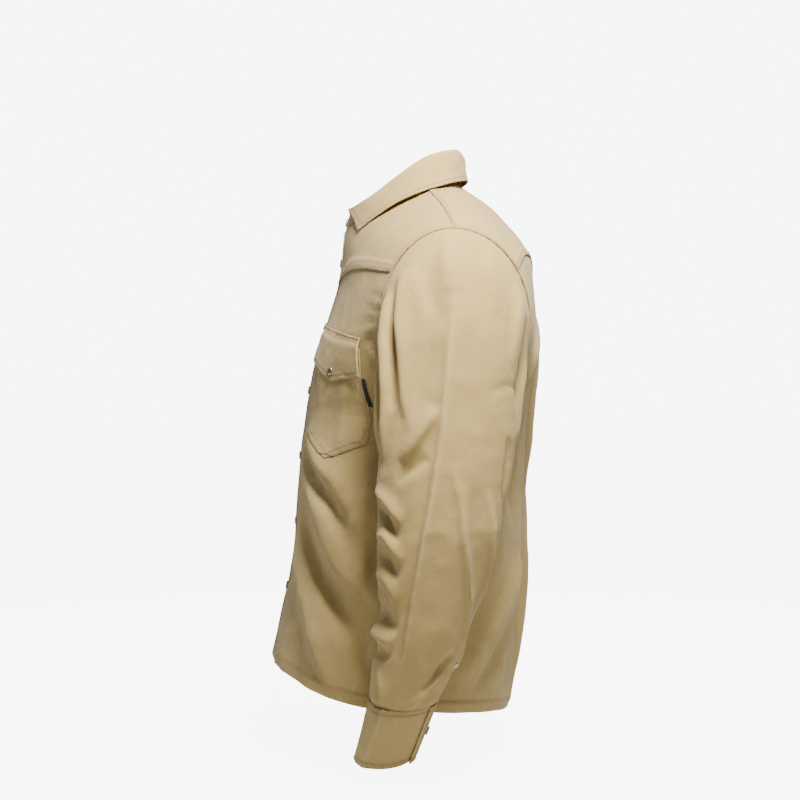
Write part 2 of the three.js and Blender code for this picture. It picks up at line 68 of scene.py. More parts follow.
# %% [markdown]
# ## The pattern
# A garment is drafted from a few measured curves. The same tables as the solid model's are used,
# in millimetres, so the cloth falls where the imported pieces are. Each row of the body is a Bezier
# curve from its centre line to its side, and the rows are joined by smooth curves. numpy works
# on whole arrays of points at once, which keeps dense cloth quick to make.

# %% Drafting tables
NECK_SEAM = [[0, 0, 0], [40, -6, -2], [67, -28, -9], [75, -60, -21], [68, -100, -40], [42, -133, -57],
    [0, -149, -66]]
SHOULDER_AT = 2.42
SIDE_SEAM = [[212, -72, -680], [210, -55, -540], [205, -35, -425], [195, -9, -322]]
FRONT = dict(
    neck_end=6,
    centre=[[0, -246, -638], [0, -220, -512], [0, -212, -400], [0, -199, -300], [0, -186, -232],
    [0, -158, -140], [0, -149, -66]],
    angles=[270, 210, 165, 130, 110, 90],
    inner=[[117, -248, -642], [117, -220, -514], [118, -212, -402], [116, -199, -303], [100, -186, -237],
           [62, -157, -141], [40, -149, -66], [103, -92, -52], [116, -29, -31]],
    outer=[[212, -166, -683], [210, -152, -540], [205, -142, -425], [194, -132, -322], [171, -136, -260],
           [155, -123, -164], [155, -92, -96], [167, -48, -67], [173, -11, -60]])
BACK = dict(
    neck_end=0,
    centre=[[0, 72, -706], [0, 90, -553], [0, 93, -410], [0, 99, -310], [0, 107, -225], [0, 104, -145],
            [0, 95, -92], [0, 50, -38], [0, 0, 0]],
    angles=[-90, -30, 15, 42, 62, 78, 90],
    inner=[[117, 72, -702], [115, 90, -551], [113, 93, -410], [112, 99, -310], [110, 107, -225],
           [105, 104, -145], [92, 97, -96], [66, 58, -48], [45, 6, -9], [116, -29, -31]],
    outer=[[212, 7, -686], [210, 25, -540], [205, 40, -425], [190, 62, -322], [160, 93, -262],
           [150, 94, -166], [154, 79, -112], [157, 46, -78], [168, 13, -63], [173, -11, -60]])
# Sleeve rings: under x, z, outer x, z, middle y, half width to the front and to the rear.
SLEEVE_RINGS = [[195, -322, 218, -82, -9, 92, 97], [204, -336, 262, -132, -10, 90, 88],
    [210, -355, 290, -205, -13, 87, 82],
                [216, -388, 308, -300, -19, 82, 83], [222, -420, 323, -388, -24, 78, 78],
                [228, -490, 331, -478, -30, 70, 70],
                [232, -572, 321, -582, -49, 54, 53], [226, -648, 302, -666, -70, 43, 42]]
CUFF_END = [[210, -728, 278, -748, -96, 37, 37]]
FOLD_LINE = [[0, 2, 42], [36, -6, 39], [60, -38, 28], [66, -70, 7], [60, -106, -20], [44, -129, -33],
    [16, -144, -38]]
LEAF_EDGE = [[0, 16, 1], [44, 8, -3], [78, -12, -11], [98, -42, -22], [102, -76, -37], [93, -102, -53],
    [70, -129, -71]]
print("front levels:", len(FRONT["inner"]), "back levels:", len(BACK["inner"]))


# %% Curves and surfaces
def through(knots, t):
    """Smooth curve through evenly spaced knots."""
    knots = np.asarray(knots, float).reshape(len(knots), -1)
    run = np.vstack([2 * knots[0] - knots[1], knots, 2 * knots[-1] - knots[-2]])
    t = np.asarray(t, float)
    i = np.clip(np.floor(t), 0, len(knots) - 2).astype(int)
    f = (t - i)[..., None]
    a, b, c, d = (run[i + k] for k in range(4))
    return b + 0.5 * f * (c - a + f * (2 * a - 5 * b + 4 * c - d + f * (3 * (b - c) + d - a)))


def through_half(half, t):
    """The same, through half a curve that meets its mirror image on the centre line."""
    flip = lambda p: [-p[0], *p[1:]]
    tail = [flip(half[-2])] if half[-1][0] == 0 else []
    return through([flip(half[1]), *half, *tail], np.asarray(t, float) + 1)


def smooth(x, low, high):
    x = np.clip((np.asarray(x, float) - low) / (high - low), 0, 1)
    return x * x * (3 - 2 * x)


def half_body(draft, across, level):
    across, level = np.broadcast_arrays(np.asarray(across, float), np.asarray(level, float))
    neck, top = len(draft["centre"]) - 1, len(draft["inner"]) - 1
    climb = np.maximum(level - neck, 0) / (top - neck)
    start = np.where((level <= neck)[..., None], through(draft["centre"], np.minimum(level, neck)),
                     through_half(NECK_SEAM, draft["neck_end"] + (SHOULDER_AT - draft["neck_end"]) * climb))
    angle = np.radians(through(draft["angles"], np.maximum(level - 3, 0))[..., 0])
    reach = np.where(np.cos(angle) > 0, 97, 92)
    armhole = np.stack([206.5 + 11.5 * np.sin(angle), -9 + reach * np.cos(angle), -202 + 120 * np.sin(angle)],
        -1)
    end = np.where((level <= 3)[..., None], through(SIDE_SEAM, np.minimum(level, 3)), armhole) - [2.5, 0, 0]
    s = across[..., None]
    inner, outer = through(draft["inner"], level), through(draft["outer"], level)
    return (1 - s) ** 3 * start + 3 * (1 - s) ** 2 * s * inner + 3 * (1 - s) * s * s * outer + s ** 3 * end


def whole_body(draft, across, level):
    signed = np.asarray(across, float) * (1 if draft is FRONT else -1)
    p = half_body(draft, np.abs(signed), level).copy()
    p[..., 0] *= np.where(np.broadcast_to(signed, p.shape[:-1]) < 0, -1, 1)
    return p


def ring_point(numbers, turn):
    ux, uz, ox, oz, y, front, rear = (numbers[..., k] for k in range(7))
    angle = np.asarray(turn) * 2 * np.pi
    part = (1 + np.sin(angle)) / 2
    reach = np.where(np.cos(angle) > 0, rear, front)
    return np.stack([ux + (ox - ux) * part + 1, y + reach * np.cos(angle), uz + (oz - uz) * part], -1)


def bare_sleeve(turn, along):
    turn, along = np.broadcast_arrays(np.asarray(turn, float), np.asarray(along, float))
    return ring_point(through(SLEEVE_RINGS, along), turn)


def bare_cuff(turn, along):
    turn, along = np.broadcast_arrays(np.asarray(turn, float), np.asarray(along, float))
    stitch_shade, end = (ring_point(np.broadcast_to(r, turn.shape + (7,)),
        turn) for r in ([*map(float, SLEEVE_RINGS[-1])], [*map(float, CUFF_END[0])]))
    way = end - stitch_shade
    return stitch_shade + way / np.linalg.norm(way, axis=-1, keepdims=True) * (along * 80)[..., None]


def normal(surface, a, b, step=1e-3):
    along = surface(a + step, b) - surface(a - step, b)
    up = surface(a, b + step) - surface(a, b - step)
    n = np.cross(along, up)
    return n / np.maximum(np.linalg.norm(n, axis=-1, keepdims=True), 1e-12)


def walk(surface, a, b, axis, mm, steps=10):
    """Travel a distance on a surface along its first or second number."""
    at = [np.array(v, float) for v in np.broadcast_arrays(np.asarray(a, float), np.asarray(b, float),
        np.asarray(mm, float))[:2]]
    mm = np.broadcast_to(mm, at[0].shape)

    def speed(value):
        here, ahead = list(at), list(at)
        here[axis], ahead[axis] = value, value + 1e-3
        return np.linalg.norm(surface(*ahead) - surface(*here), axis=-1) / 1e-3
    for _ in range(steps):
        half = at[axis] + mm / steps / speed(at[axis]) / 2
        at[axis] = at[axis] + mm / steps / speed(half)
    return at


bare_front = lambda across, level: whole_body(FRONT, across, level)
bare_back = lambda across, level: whole_body(BACK, across, level)
print("nape at", bare_back(0.0, 8.0).round(2), "mm")

# %% [markdown]
# ## How the cloth falls
# Worn cloth hangs in soft folds that start where it is held: under the arm, at the pocket's
# corners, at the elbow and above the cuff. A cloth simulation gives folds somewhere; here each
# main fold has its place, so a fold is drawn as a path with a width and a height, and the
# surface rises along its normal there. Seeded noise adds the small unevenness between them.


# %% Folds and unevenness
def uneven(p, seed):
    """Seeded smooth noise, -1 to 1, for points in cells of size 1."""
    i = np.floor(p).astype(np.int64)
    f = p - i
    f = f * f * f * (f * (f * 6 - 15) + 10)
    total = 0
    for corner in np.ndindex(2, 2, 2):
        c = i + corner
        h = (c[..., 0] * 374761393 + c[..., 1] * 668265263 + c[..., 2] * 1440662683
            + seed * 974634777) & 0xFFFFFFFF
        h = ((h ^ (h >> 13)) * 1274126177) & 0xFFFFFFFF
        value = ((h ^ (h >> 16)) & 0xFFFF) / 32767.5 - 1
        total = total + value * np.prod(np.where(corner, f, 1 - f), axis=-1)
    return total


def folds(q, drawn):
    """Height at points q (mm on the opened-out cloth) of folds drawn as (path, width, height)."""
    total = np.zeros(q.shape[:-1])
    for path, width, height in drawn:
        path = np.asarray(path, float)
        spans = np.linalg.norm(np.diff(path, axis=0), axis=1)
        near, share, side = np.full(total.shape, 1e9), np.zeros(total.shape), np.zeros(total.shape)
        for k, span in enumerate(spans):
            way = (path[k + 1] - path[k]) / span
            off = q - path[k]
            t = np.clip(off @ way, 0, span)
            rest = off - t[..., None] * way
            d = np.linalg.norm(rest, axis=-1)
            closer = d < near
            near = np.where(closer, d, near)
            share = np.where(closer, (spans[:k].sum() + t) / spans.sum(), share)
            side = np.where(closer, np.sign(way[0] * rest[..., 1] - way[1] * rest[..., 0]), side)
        taper = np.sin(np.pi * np.clip(share, 0, 1)) ** 0.7
        total += height * taper * np.exp(-(near / (width
            * (1 + 0.35 * side))) ** (1.3 if width < 6.5 else 1.9))
    return total


def opened(drawn, degree, rise=1.0):
    return [(np.array(path, float) * [degree, rise], width, height) for path, width, height in drawn]


# Degrees round the body from centre front (left is positive), and height.
LEFT_FOLDS = [
    ([(80, -198), (84, -214), (91, -240)], 6, 5), ([(76, -214), (81, -232), (89, -262)], 6, -5),
    ([(78, -232), (82, -252), (90, -290)], 7, 5), ([(80, -270), (84, -300), (88, -350)], 8, -4),
    ([(28, -340), (44, -372), (62, -400), (78, -462)], 15, 7),
    ([(26, -362), (44, -398), (60, -430), (74, -490)], 13, -7),
    ([(40, -396), (54, -446), (68, -510), (88, -556)], 19, 11),
    ([(34, -452), (50, -512), (64, -556), (84, -650)], 16, -11),
    ([(24, -470), (40, -545), (54, -600), (66, -668)], 17, 8), ([(32, -530), (44, -566), (52, -600)], 9, -4),
    ([(82, -370), (76, -420), (69, -480)], 11, 6), ([(84, -440), (80, -500), (75, -560)], 11, -5),
    ([(90, -540), (82, -600), (72, -672)], 15, 8), ([(100, -500), (96, -590), (92, -690)], 20, -8),
    ([(152, -500), (140, -545), (126, -590), (112, -650)], 26, 10),
    ([(146, -560), (132, -610), (120, -670)], 20, -8),
    ([(116, -330), (124, -400), (122, -480)], 18, 7), ([(130, -320), (140, -400), (150, -470)], 18, -6),
    ([(18, -145), (24, -162), (28, -178)], 11, 2), ([(12, -300), (16, -420), (14, -560)], 14, -4),
]
RIGHT_FOLDS = [
    ([(-76, -200), (-81, -222), (-89, -252)], 8, 5), ([(-77, -226), (-82, -250), (-90, -290)], 7, -5),
    ([(-30, -352), (-50, -392), (-66, -440), (-80, -500)], 17, 8),
    ([(-28, -390), (-48, -440), (-62, -510)], 14, -8),
    ([(-40, -440), (-56, -520), (-72, -600), (-80, -670)], 19, 10),
    ([(-26, -480), (-42, -560), (-52, -650)], 17, -8),
    ([(-84, -380), (-80, -470), (-88, -560)], 14, 6), ([(-95, -480), (-90, -590), (-94, -690)], 20, -9),
    ([(-116, -340), (-128, -430), (-124, -520)], 20, 8), ([(-150, -470), (-136, -560), (-118, -660)], 24, 10),
    ([(-162, -420), (-150, -540), (-140, -690)], 22, -8), ([(-18, -300), (-15, -430), (-18, -600)], 14, -4),
]
BACK_FOLDS = [
    ([(176, -180), (172, -330), (178, -480)], 20, 5), ([(-164, -260), (-172, -400), (-166, -540)], 24, -7),
    ([(160, -250), (166, -400), (158, -620)], 24, -8), ([(168, -420), (172, -560), (166, -700)], 22, 9),
    ([(-172, -500), (-176, -600), (-170, -700)], 22, 8), ([(150, -190), (140, -240), (132, -320)], 14, 6),
    ([(-150, -190), (-142, -250), (-130, -330)], 14, 6),
]
BODY_DEGREE = 3.5  # millimetres to a degree
TORSO_FOLDS = opened(LEFT_FOLDS + RIGHT_FOLDS + BACK_FOLDS, BODY_DEGREE)


def torso_rise(p):
    """How far the body's cloth stands off the drafted surface at point p."""
    x, y, z = p[..., 0], p[..., 1], p[..., 2]
    round_body = np.degrees(np.arctan2(x, -(y + 75)))
    rise = 1.6 * folds(np.stack([round_body * BODY_DEGREE, z], -1), TORSO_FOLDS)
    low = smooth(-z, 150, 420)
    rise += (1.8 + 2.6 * low) * uneven(p / [75, 75, 150],
        3) + (1.0 + 1.5 * low) * (0.5 - np.abs(uneven(p / [42, 42, 80], 5))) * 2
    rise += 0.35 * uneven(p / 15, 7)
    neck = smooth(np.hypot(x, y + 75), 78, 135)
    hole = (np.hypot((y + 9) / 95, (z + 202) / 120) - 1) * 105
    by_hole = smooth(np.abs(x), 140, 175) * (1 - smooth(hole, 4, 60))
    middle = 0.25 + 0.75 * smooth(np.abs(x), 14, 60)
    rise *= neck * (1 - 0.75 * by_hole) * np.where(y < 0, middle, 1)
    turn = np.arctan2((z + 202) / 120, (y + 9) / 95) * 106
    pucker = np.sin(turn / 2.3 + 2 * uneven(p / 20, 11)) * np.exp(-((hole - 6) / 12) ** 2) * (0.5
        + 0.5 * uneven(p / 30, 13))
    rise += (0.25 + 1.4 * smooth(-z, 140, 175) * smooth(-y, 20, 60)) * pucker * smooth(np.abs(x), 140, 175)
    return 15 * np.tanh(rise / 15)


def draped(bare, rise):
    def surface(a, b):
        p = bare(a, b)
        return p + normal(bare, a, b) * rise(p)[..., None]
    surface.bare = bare
    return surface


front, back = draped(bare_front, torso_rise), draped(bare_back, torso_rise)
print("deepest and highest fold:", [round(float(v), 1) for v in (lambda r: (r.min(), r.max()))(
    torso_rise(bare_front(*np.meshgrid(np.linspace(-1, 1, 80), np.linspace(0, 5, 80)))))], "mm")

# %% Sleeve folds
# Degrees round the arm (0 is its back, 90 its outside, 180 its front), and rings down from the armhole.
ARM_DEGREE, RING_STEP = 1.4, 88.0  # millimetres to a degree and to a ring
PRESSED = (0, 2, 4)  # the folds that are pressed creases
SLEEVE_FOLDS = [
    ([(90, 1.5), (92, 2.9), (94, 3.5), (100, 4.3), (106, 4.8), (110, 5.5), (110, 6.1), (114, 6.5),
    (124, 7.1)], 6, 5.5),
    ([(98, 2.9), (104, 3.8), (112, 4.7), (120, 5.6), (122, 6.4)], 9, -3),
    ([(84, 3.8), (74, 4.3), (68, 4.8), (52, 5.35), (26, 5.9), (36, 6.4)], 6, 5),
    ([(64, 4.1), (56, 4.9), (38, 5.5)], 8, -3),
    ([(46, 4.1), (32, 4.8), (4, 5.6)], 7, 4), ([(26, 3.2), (20, 4.1), (-6, 5.0)], 9, -4),
    ([(56, 2.82), (34, 2.52), (8, 2.26)], 4, -1.6),
    ([(160, 0.3), (162, 1.5), (155, 2.4), (157, 3.6)], 9, 8), ([(148, 0.4), (150, 1.5), (142, 2.9)], 8, -7),
    ([(136, 0.5), (140, 1.6), (130, 2.8), (120, 3.3)], 9, 6), ([(120, 0.5), (104, 1.8), (122, 3.2)], 13, -5),
    ([(176, 0.4), (176, 1.8), (168, 3.0)], 9, -6), ([(192, 0.6), (190, 1.8), (182, 3.2)], 12, 6),
    ([(128, 3.75), (112, 3.4), (98, 3.05)], 10, 6), ([(134, 4.0), (118, 3.85), (104, 3.7)], 9, -4),
    ([(176, 4.0), (150, 4.25), (128, 4.6)], 7, 6), ([(176, 4.3), (152, 4.5), (132, 4.85)], 6, -6),
    ([(172, 4.7), (150, 4.75), (126, 5.1)], 7, 6), ([(170, 5.0), (150, 5.05), (130, 5.3)], 6, -5),
    ([(176, 5.2), (150, 5.3), (128, 5.55)], 8, 5),
    ([(200, 5.75), (160, 5.7), (124, 5.86)], 9, -8), ([(200, 5.95), (160, 5.98), (128, 6.05)], 7, 6),
    ([(200, 6.3), (160, 6.2), (128, 6.22)], 8, -6),
    ([(150, 6.4), (136, 6.7), (128, 7.0)], 7, 4), ([(70, 6.75), (54, 6.5), (38, 6.15)], 8, -6),
    ([(84, 6.95), (62, 6.7), (44, 6.45)], 7, 5),
    ([(20, 6.0), (6, 6.4), (-10, 6.6)], 9, 4), ([(62, 0.2), (60, 0.8), (52, 1.6)], 9, 3),
    ([(96, 0.1), (97, 0.8), (95, 1.5)], 11, 2.5),
    ([(30, 0.4), (26, 1.4), (30, 2.2)], 12, 5), ([(10, 0.5), (6, 1.6), (14, 2.6)], 11, -5),
    ([(-14, 0.6), (-10, 1.8), (-4, 3.0)], 12, 6),
    ([(236, 1.0), (226, 2.6), (236, 4.2)], 14, 6), ([(262, 1.4), (272, 3.0), (258, 4.8)], 14, -6),
    ([(250, 4.6), (222, 5.2), (250, 6.0)], 12, 5),
]


def on_opened_sleeve(turn, along, shift):
    """Millimetres on the opened-out sleeve; the right sleeve's folds are shifted a little."""
    degrees = (turn * 360 + 60) % 360 - 60
    return np.stack([degrees * ARM_DEGREE, along * RING_STEP], -1) - [shift * 9, shift * 12]


def sleeve_rise(turn, along, p, shift):
    drawn = opened(SLEEVE_FOLDS, ARM_DEGREE, RING_STEP)
    rise = 1.5 * folds(on_opened_sleeve(turn, along, shift), drawn)
    rise += 1.8 * uneven(p / [60, 60, 120] + shift,
        21) + 1.1 * (0.5 - np.abs(uneven(p / [34, 34, 60], 23))) * 2 + 0.35 * uneven(p / 14, 27)
    rise = 13 * np.tanh(rise / 13) * smooth(along, 0.02, 0.5) * (1 - 0.85 * smooth(along, 6.8, 7))
    gather = np.sin(turn * 2 * np.pi * 38 + 3 * uneven(p / 30,
        29)) * np.exp(-((along * RING_STEP - 6) / 14) ** 2)
    return rise + 0.5 * gather * (0.5 + 0.5 * uneven(p / 40, 31))


def sleeve_creases(turn, along, shift):
    """Where the pressed creases have rubbed pale, 0 to 1."""
    pressed = opened([(SLEEVE_FOLDS[k][0], 3.0, 1.0) for k in PRESSED], ARM_DEGREE, RING_STEP)
    return np.clip(folds(on_opened_sleeve(turn, along, shift), pressed), 0, 1)


def sleeve_of(side):
    def bare(t, along):
        return bare_sleeve(t * side, along) * [side, 1, 1]

    def surface(t, along):
        p, n = bare(t, along), normal(bare, t, along)
        return p + n * sleeve_rise(t * side, along, p, 0 if side > 0 else 1)[..., None]
    surface.bare = bare
    return surface


print("sleeve folds:", len(SLEEVE_FOLDS), "torso folds:", len(TORSO_FOLDS))

# %% [markdown]
# ## A cloth panel as a closed plate
# A single sheet of faces has no edge to catch light, so a panel is built like real cloth: an
# outer and an inner face about a millimetre apart, closed all round. The grid is finer near its
# edges, where a turned edge rolls over and a lapped seam stands up. A UV map in metres carries
# the weave, and two attributes, "edge" and "crest", tell the finish where cloth wears.

# %% Plates
FINE = [0, 0.4, 1.2, 2.6, 4, 5.5, 7, 8.5, 10, 12, 15]
PLAIN = [0, 0.5, 1.6, 4]
made = {}


def lines(length, step, low=FINE, high=FINE):
    count = max(2, round((length - low[-1] - high[-1]) / step) + 1)
    inner = np.linspace(low[-1], length - high[-1], count)
    return np.unique(np.concatenate([low, inner, length - np.array(high)]).round(3)) / length


def lap(d, rise=1.4, width=10):
    """Height of a lapped seam: thick at the edge, flat past its second row of stitches."""
    return rise * (1 - smooth(d, width - 1.0, width
        + 2.0)) - 0.6 * np.exp(-((d - 8) / 1.0) ** 2) - 0.5 * np.exp(-((d - 1.9) / 0.8) ** 2)


def rounded(A, B, size, sides="abcd"):
    """Drop of the outer face where it rolls over the panel's edges (a low, b high, c low, d high)."""
    d = np.minimum.reduce([dict(a=A, b=1 - A, c=B,
        d=1 - B)[s] * (size[0] if s in "ab" else size[1]) for s in sides])
    return d, 0.45 * np.exp(-(d / 0.6) ** 2)


def plate(name, surface, a, b, low=-1.0, high=0.0, tube=False, size=None, rolled="abcd"):
    A, B = np.meshgrid(a, b)
    size = size or (250, 250)
    P, N = surface(A, B), normal(surface, A, B)
    bare = surface.bare(A, B) if hasattr(surface, "bare") else P
    crest = ((P - bare) * N).sum(-1)
    d, roll = rounded(A, B, size, rolled)
    rubbed = np.exp(-d / 2.5) + (surface.worn(A, B) if hasattr(surface, "worn") else 0)
    H, L = (np.broadcast_to(f(A, B) if callable(f) else f, A.shape) for f in (high, low))
    layers = [P + N * (H - roll)[..., None], P + N * L[..., None]]
    rows, cols = A.shape
    points = np.concatenate([layer.reshape(-1, 3) for layer in layers]) / 1000
    i, j = np.meshgrid(np.arange(cols if tube else cols - 1), np.arange(rows - 1))
    at = lambda i, j, s: s * rows * cols + j * cols + i % cols
    corners = [[(i, j, 0), (i + 1, j, 0), (i + 1, j + 1, 0), (i, j + 1, 0)],
        [(i, j, 1), (i, j + 1, 1), (i + 1, j + 1, 1), (i + 1, j, 1)]]
    e, z, t = i[0], 0 * i[0], 0 * i[0] + rows - 1
    corners += [[(e, z, 0), (e, z, 1), (e + 1, z, 1), (e + 1, z, 0)],
        [(e, t, 0), (e + 1, t, 0), (e + 1, t, 1), (e, t, 1)]]
    if not tube:
        f, z, t = j[:, 0], 0 * j[:, 0], 0 * j[:, 0] + cols - 1
        corners += [[(z, f, 0), (z, f + 1, 0), (z, f + 1, 1), (z, f, 1)],
            [(t, f, 0), (t, f, 1), (t, f + 1, 1), (t, f + 1, 0)]]
    faces = np.concatenate([np.stack([at(x, y, s + 0 * x).ravel() for x, y, s in quad],
        -1) for quad in corners])
    wide = np.append(a, a[0] + 1) if tube else a
    uvs = np.concatenate([np.stack([np.stack([wide[x].ravel() * size[0], b[y].ravel() * size[1]], -1) for x,
        y, s in quad], 1) for quad in corners])
    mesh = bpy.data.meshes.new(name)
    mesh.from_pydata(points.tolist(), [], faces.tolist())
    mesh.uv_layers.new(name="Weave").data.foreach_set("uv",
        (uvs.reshape(-1, 2) / 1000).astype(np.float32).ravel())
    for key, value in (("edge", rubbed), ("crest", crest / 10)):
        mesh.attributes.new(key, "FLOAT", "POINT").data.foreach_set("value",
            np.tile(value.ravel(), 2).astype(np.float32))
    mesh.shade_smooth()
    obj = bpy.data.objects.new(name, mesh)
    bpy.context.scene.collection.objects.link(obj)
    closed = layers[0] if not tube else np.concatenate([layers[0], layers[0][:, :1]], 1)
    across, up = np.diff(closed, axis=1), np.diff(closed, axis=0)
    area = np.linalg.norm(np.cross(across[:-1], up[:, :-1]), axis=-1).sum() / 1e6
    flat = [np.linalg.norm(across, axis=-1).sum(1).max() / 1000,
        np.linalg.norm(up, axis=-1).sum(0).max() / 1000]
    made[name] = dict(obj=obj, flat=flat, area=float(min(max(area, 0.31 * flat[0] * flat[1]),
        flat[0] * flat[1])), surface=surface, high=high, size=size)
    print(f"{name}: {len(points)} points, flat {flat[0]:.3f} x {flat[1]:.3f} m, {area:.4f} m2")
    return obj


# %% [markdown]
# ## Body panels and yokes
# The fronts and the back meet at felled side seams; the yokes lap over them with two rows of
# stitches. Each panel is the drafted surface between its seams, so neighbours share one fall.

# %% Seams as levels on the body
share = np.linspace(0, 1, 81)
front_yoke_level = lambda a: 5 + 0.5 * a + 0.12 * np.sin(np.pi * np.clip(a, 0, 1))
back_yoke_level = lambda a: through([5.42, 5.8, 5.98, 5.9, 5.74], np.abs(a) * 4)[..., 0]


def seam_at(bare, level_of, mm):
    table = walk(bare, share, level_of(share), 1, mm)[1]
    return lambda a: np.interp(np.abs(a), share, table)


front_seam_under, front_seam_over = seam_at(bare_front, front_yoke_level, 5), seam_at(bare_front,
    front_yoke_level, -2)
back_seam_under, back_seam_over = seam_at(bare_back, back_yoke_level, 5), seam_at(bare_back, back_yoke_level,
    -2)
level_lines = np.linspace(0, 8, 161)
edge_table = {mm: walk(bare_front, 0 * level_lines, level_lines, 0, mm)[0] for mm in (12, 18, 19)}
from_middle = lambda level, mm: np.interp(level, level_lines, edge_table[mm])
side_past = {n: walk(bare, 1 + 0 * level_lines, level_lines, 0, mm)[0] for n, bare,
    mm in (("front", bare_front, 3), ("back", bare_back, 1.5))}
front_side = lambda level: np.interp(level, level_lines, side_past["front"])
back_side = lambda level: np.interp(level, level_lines, side_past["back"])
print("yoke seam at centre back:", back_yoke_level(0.0))

# %% Cut the body
sew = {}  # surfaces kept for the stitching


def sided(make):
    """A piece drawn for the wearer's left; the right one runs the other way round."""
    def cut(side):
        f = lambda a, b: make(a if side > 0 else 1 - a, b, side, front, back)
        f.bare = lambda a, b: make(a if side > 0 else 1 - a, b, side, bare_front, bare_back)
        return f
    return cut


@sided
def front_panel(a, b, side, on_front, on_back):
    rough = front_seam_under(a) * b
    across = (1 - a) * from_middle(rough, 12) + a * front_side(rough)
    return on_front(side * across, front_seam_under(across) * b)


@sided
def front_yoke(a, b, side, on_front, on_back):
    top = 7.985
    neck, shoulder = np.minimum(1, a / 0.35), np.maximum(0, (a - 0.35) / 0.65)
    foot = (1 - a) * from_middle(5, 12) + a * 1.008
    level = (1 - b) * front_seam_over(foot) + b * ((1 - neck) * 6 + neck * top)
    climb = np.maximum(0, level - 6) / (top - 6)
    inner = from_middle(np.minimum(level, 6), 12) * (1 - climb) ** 2
    way = (1 - b) * a + b * shoulder
    return on_front(side * (inner * (1 - way) + 1.008 * way), level)


def back_panel(a, b, on=None):
    across = (2 * a - 1) * back_side(back_seam_under(a) * b)
    return (on or back)(across, back_seam_under(across) * b)


def back_yoke(a, b, on=None):
    across = 2 * a - 1
    top = 9.03
    neck, shoulder = np.minimum(1, np.abs(across) / 0.35), np.maximum(0, (np.abs(across) - 0.35) / 0.65)
    level = (1 - b) * back_seam_over(across) + b * ((1 - neck) * 8 + neck * top)
    return (on or back)(1.008 * ((1 - b) * across + b * np.sign(across) * np.maximum(shoulder, 1e-6)), level)


back_panel.bare = lambda a, b: back_panel(a, b, bare_back)
back_yoke.bare = lambda a, b: back_yoke(a, b, bare_back)
for side, word in ((1, "left"), (-1, "right")):
    out = lambda A, side=side: (1 - A if side > 0 else A)
    size = (268, 400)
    ends = (PLAIN, FINE) if side > 0 else (FINE, PLAIN)
    sew["front_panel_" + word] = s = front_panel(side)
    plate(f"cloth_front_panel_{word}", s, lines(size[0], 4.2, *ends), lines(size[1], 4.2, FINE, PLAIN),
          high=lambda A, B, out=out: lap(out(A) * 268, 1.1)
          + 0.5 * (1 - smooth(B * 400, 7, 9)) * (B * 400 < 12), size=size)
    size = (205, 150)
    sew["front_yoke_" + word] = s = front_yoke(side)
    plate(f"cloth_front_yoke_{word}", s, lines(size[0], 4, *ends), lines(size[1], 3.6, FINE, PLAIN),
          high=lambda A, B, out=out: np.maximum(lap(out(A) * 205, 1.2), lap(B * 150, 1.9)) + 0.25,
          low=lambda A, B: 0.25 + 0.9 * (1 - smooth(B * 150, 5, 9)) - 1.0, size=size)
plate("cloth_back_panel", back_panel, lines(560, 4.4, PLAIN, PLAIN), lines(515, 4.4, FINE, PLAIN),
      high=lambda A, B: lap(np.minimum(A, 1 - A) * 560, 1.1) * smooth(B, 0.72, 0.78)
      + 0.5 * (1 - smooth(B * 515, 7, 9)), size=(560, 515))
plate("cloth_back_yoke", back_yoke, lines(480, 4.2), lines(190, 3.8, FINE, FINE),
      high=lambda A, B: np.maximum.reduce([lap(np.minimum(A, 1 - A) * 480, 1.2), lap(B * 190, 2.0),
      lap((1 - B) * 190, 1.6)]) + 0.25,
      low=lambda A, B: 0.25 + 0.9 * (1 - smooth(np.minimum(B, 1 - B) * 190, 5, 9)) - 1.0, size=(480, 190))


def placket(a, b, on=front):
    level = b * 5.99
    return on((2 * a - 1) * from_middle(level, 18), level)


placket.bare = lambda a, b: placket(a, b, bare_front)
two_rows = lambda A, B: 1.5 - 0.4 * np.exp(-((np.minimum(A, 1 - A) * 36 - 6)
    / 0.9) ** 2) + 0.25 * uneven(np.stack([A * 2, B * 30, 0 * A], -1), 41)
plate("cloth_placket_over", placket, lines(36, 2), lines(580, 4.5), high=two_rows, low=0.45, size=(36, 580))
plate("cloth_placket_under", placket, lines(36, 3, PLAIN, PLAIN), lines(580, 6, PLAIN, PLAIN), high=-2.2,
    low=-3.4, size=(36, 580))

# %% [markdown]
# ## Sleeves and cuffs
# A sleeve is a tube that starts tucked under the body's armhole edge, gathers a little there,
# and narrows to the cuff. The cuff is a stiff double band that laps over itself at the back of
# the wrist, where a slit above it is finished with its own small placket.

# %% Sew the sleeves
SLIT = 0.03  # the slit's place as a share of the way round the arm
CUFF_CREASE = 124  # degrees round the arm
SLEEVE_START, SLEEVE_RUN = -0.14, 7.19  # rings: from inside the armhole to inside the cuff
cuff_lap = 34 / (2 * math.pi * math.sqrt((((278 - 210) / 2) ** 2 + 37 ** 2) / 2))


def cuff_of(side):
    turn_at = lambda a: SLIT - cuff_lap / 2 + (a if side > 0 else 1 - a) * (1 + cuff_lap)
    bare = lambda a, b: bare_cuff(turn_at(a), b) * [side, 1, 1]
    from_crease = lambda a, b: (turn_at(a) * 360 % 360) - CUFF_CREASE - 8 * b

    def surface(a, b):
        turn = turn_at(a)
        dents = 0.7 * uneven(np.stack([turn * 9, b * 1.6, 0 * turn + side], -1),
            43) * np.sin(np.pi * np.clip(b, 0, 1))
        rise = 3.2 * np.exp(-(np.abs(from_crease(a, b)) / 9) ** 1.3) + dents
        return bare(a, b) + normal(bare, a, b) * rise[..., None]
    surface.worn = lambda a, b: np.exp(-(from_crease(a, b) / 3.5) ** 2)
    return surface


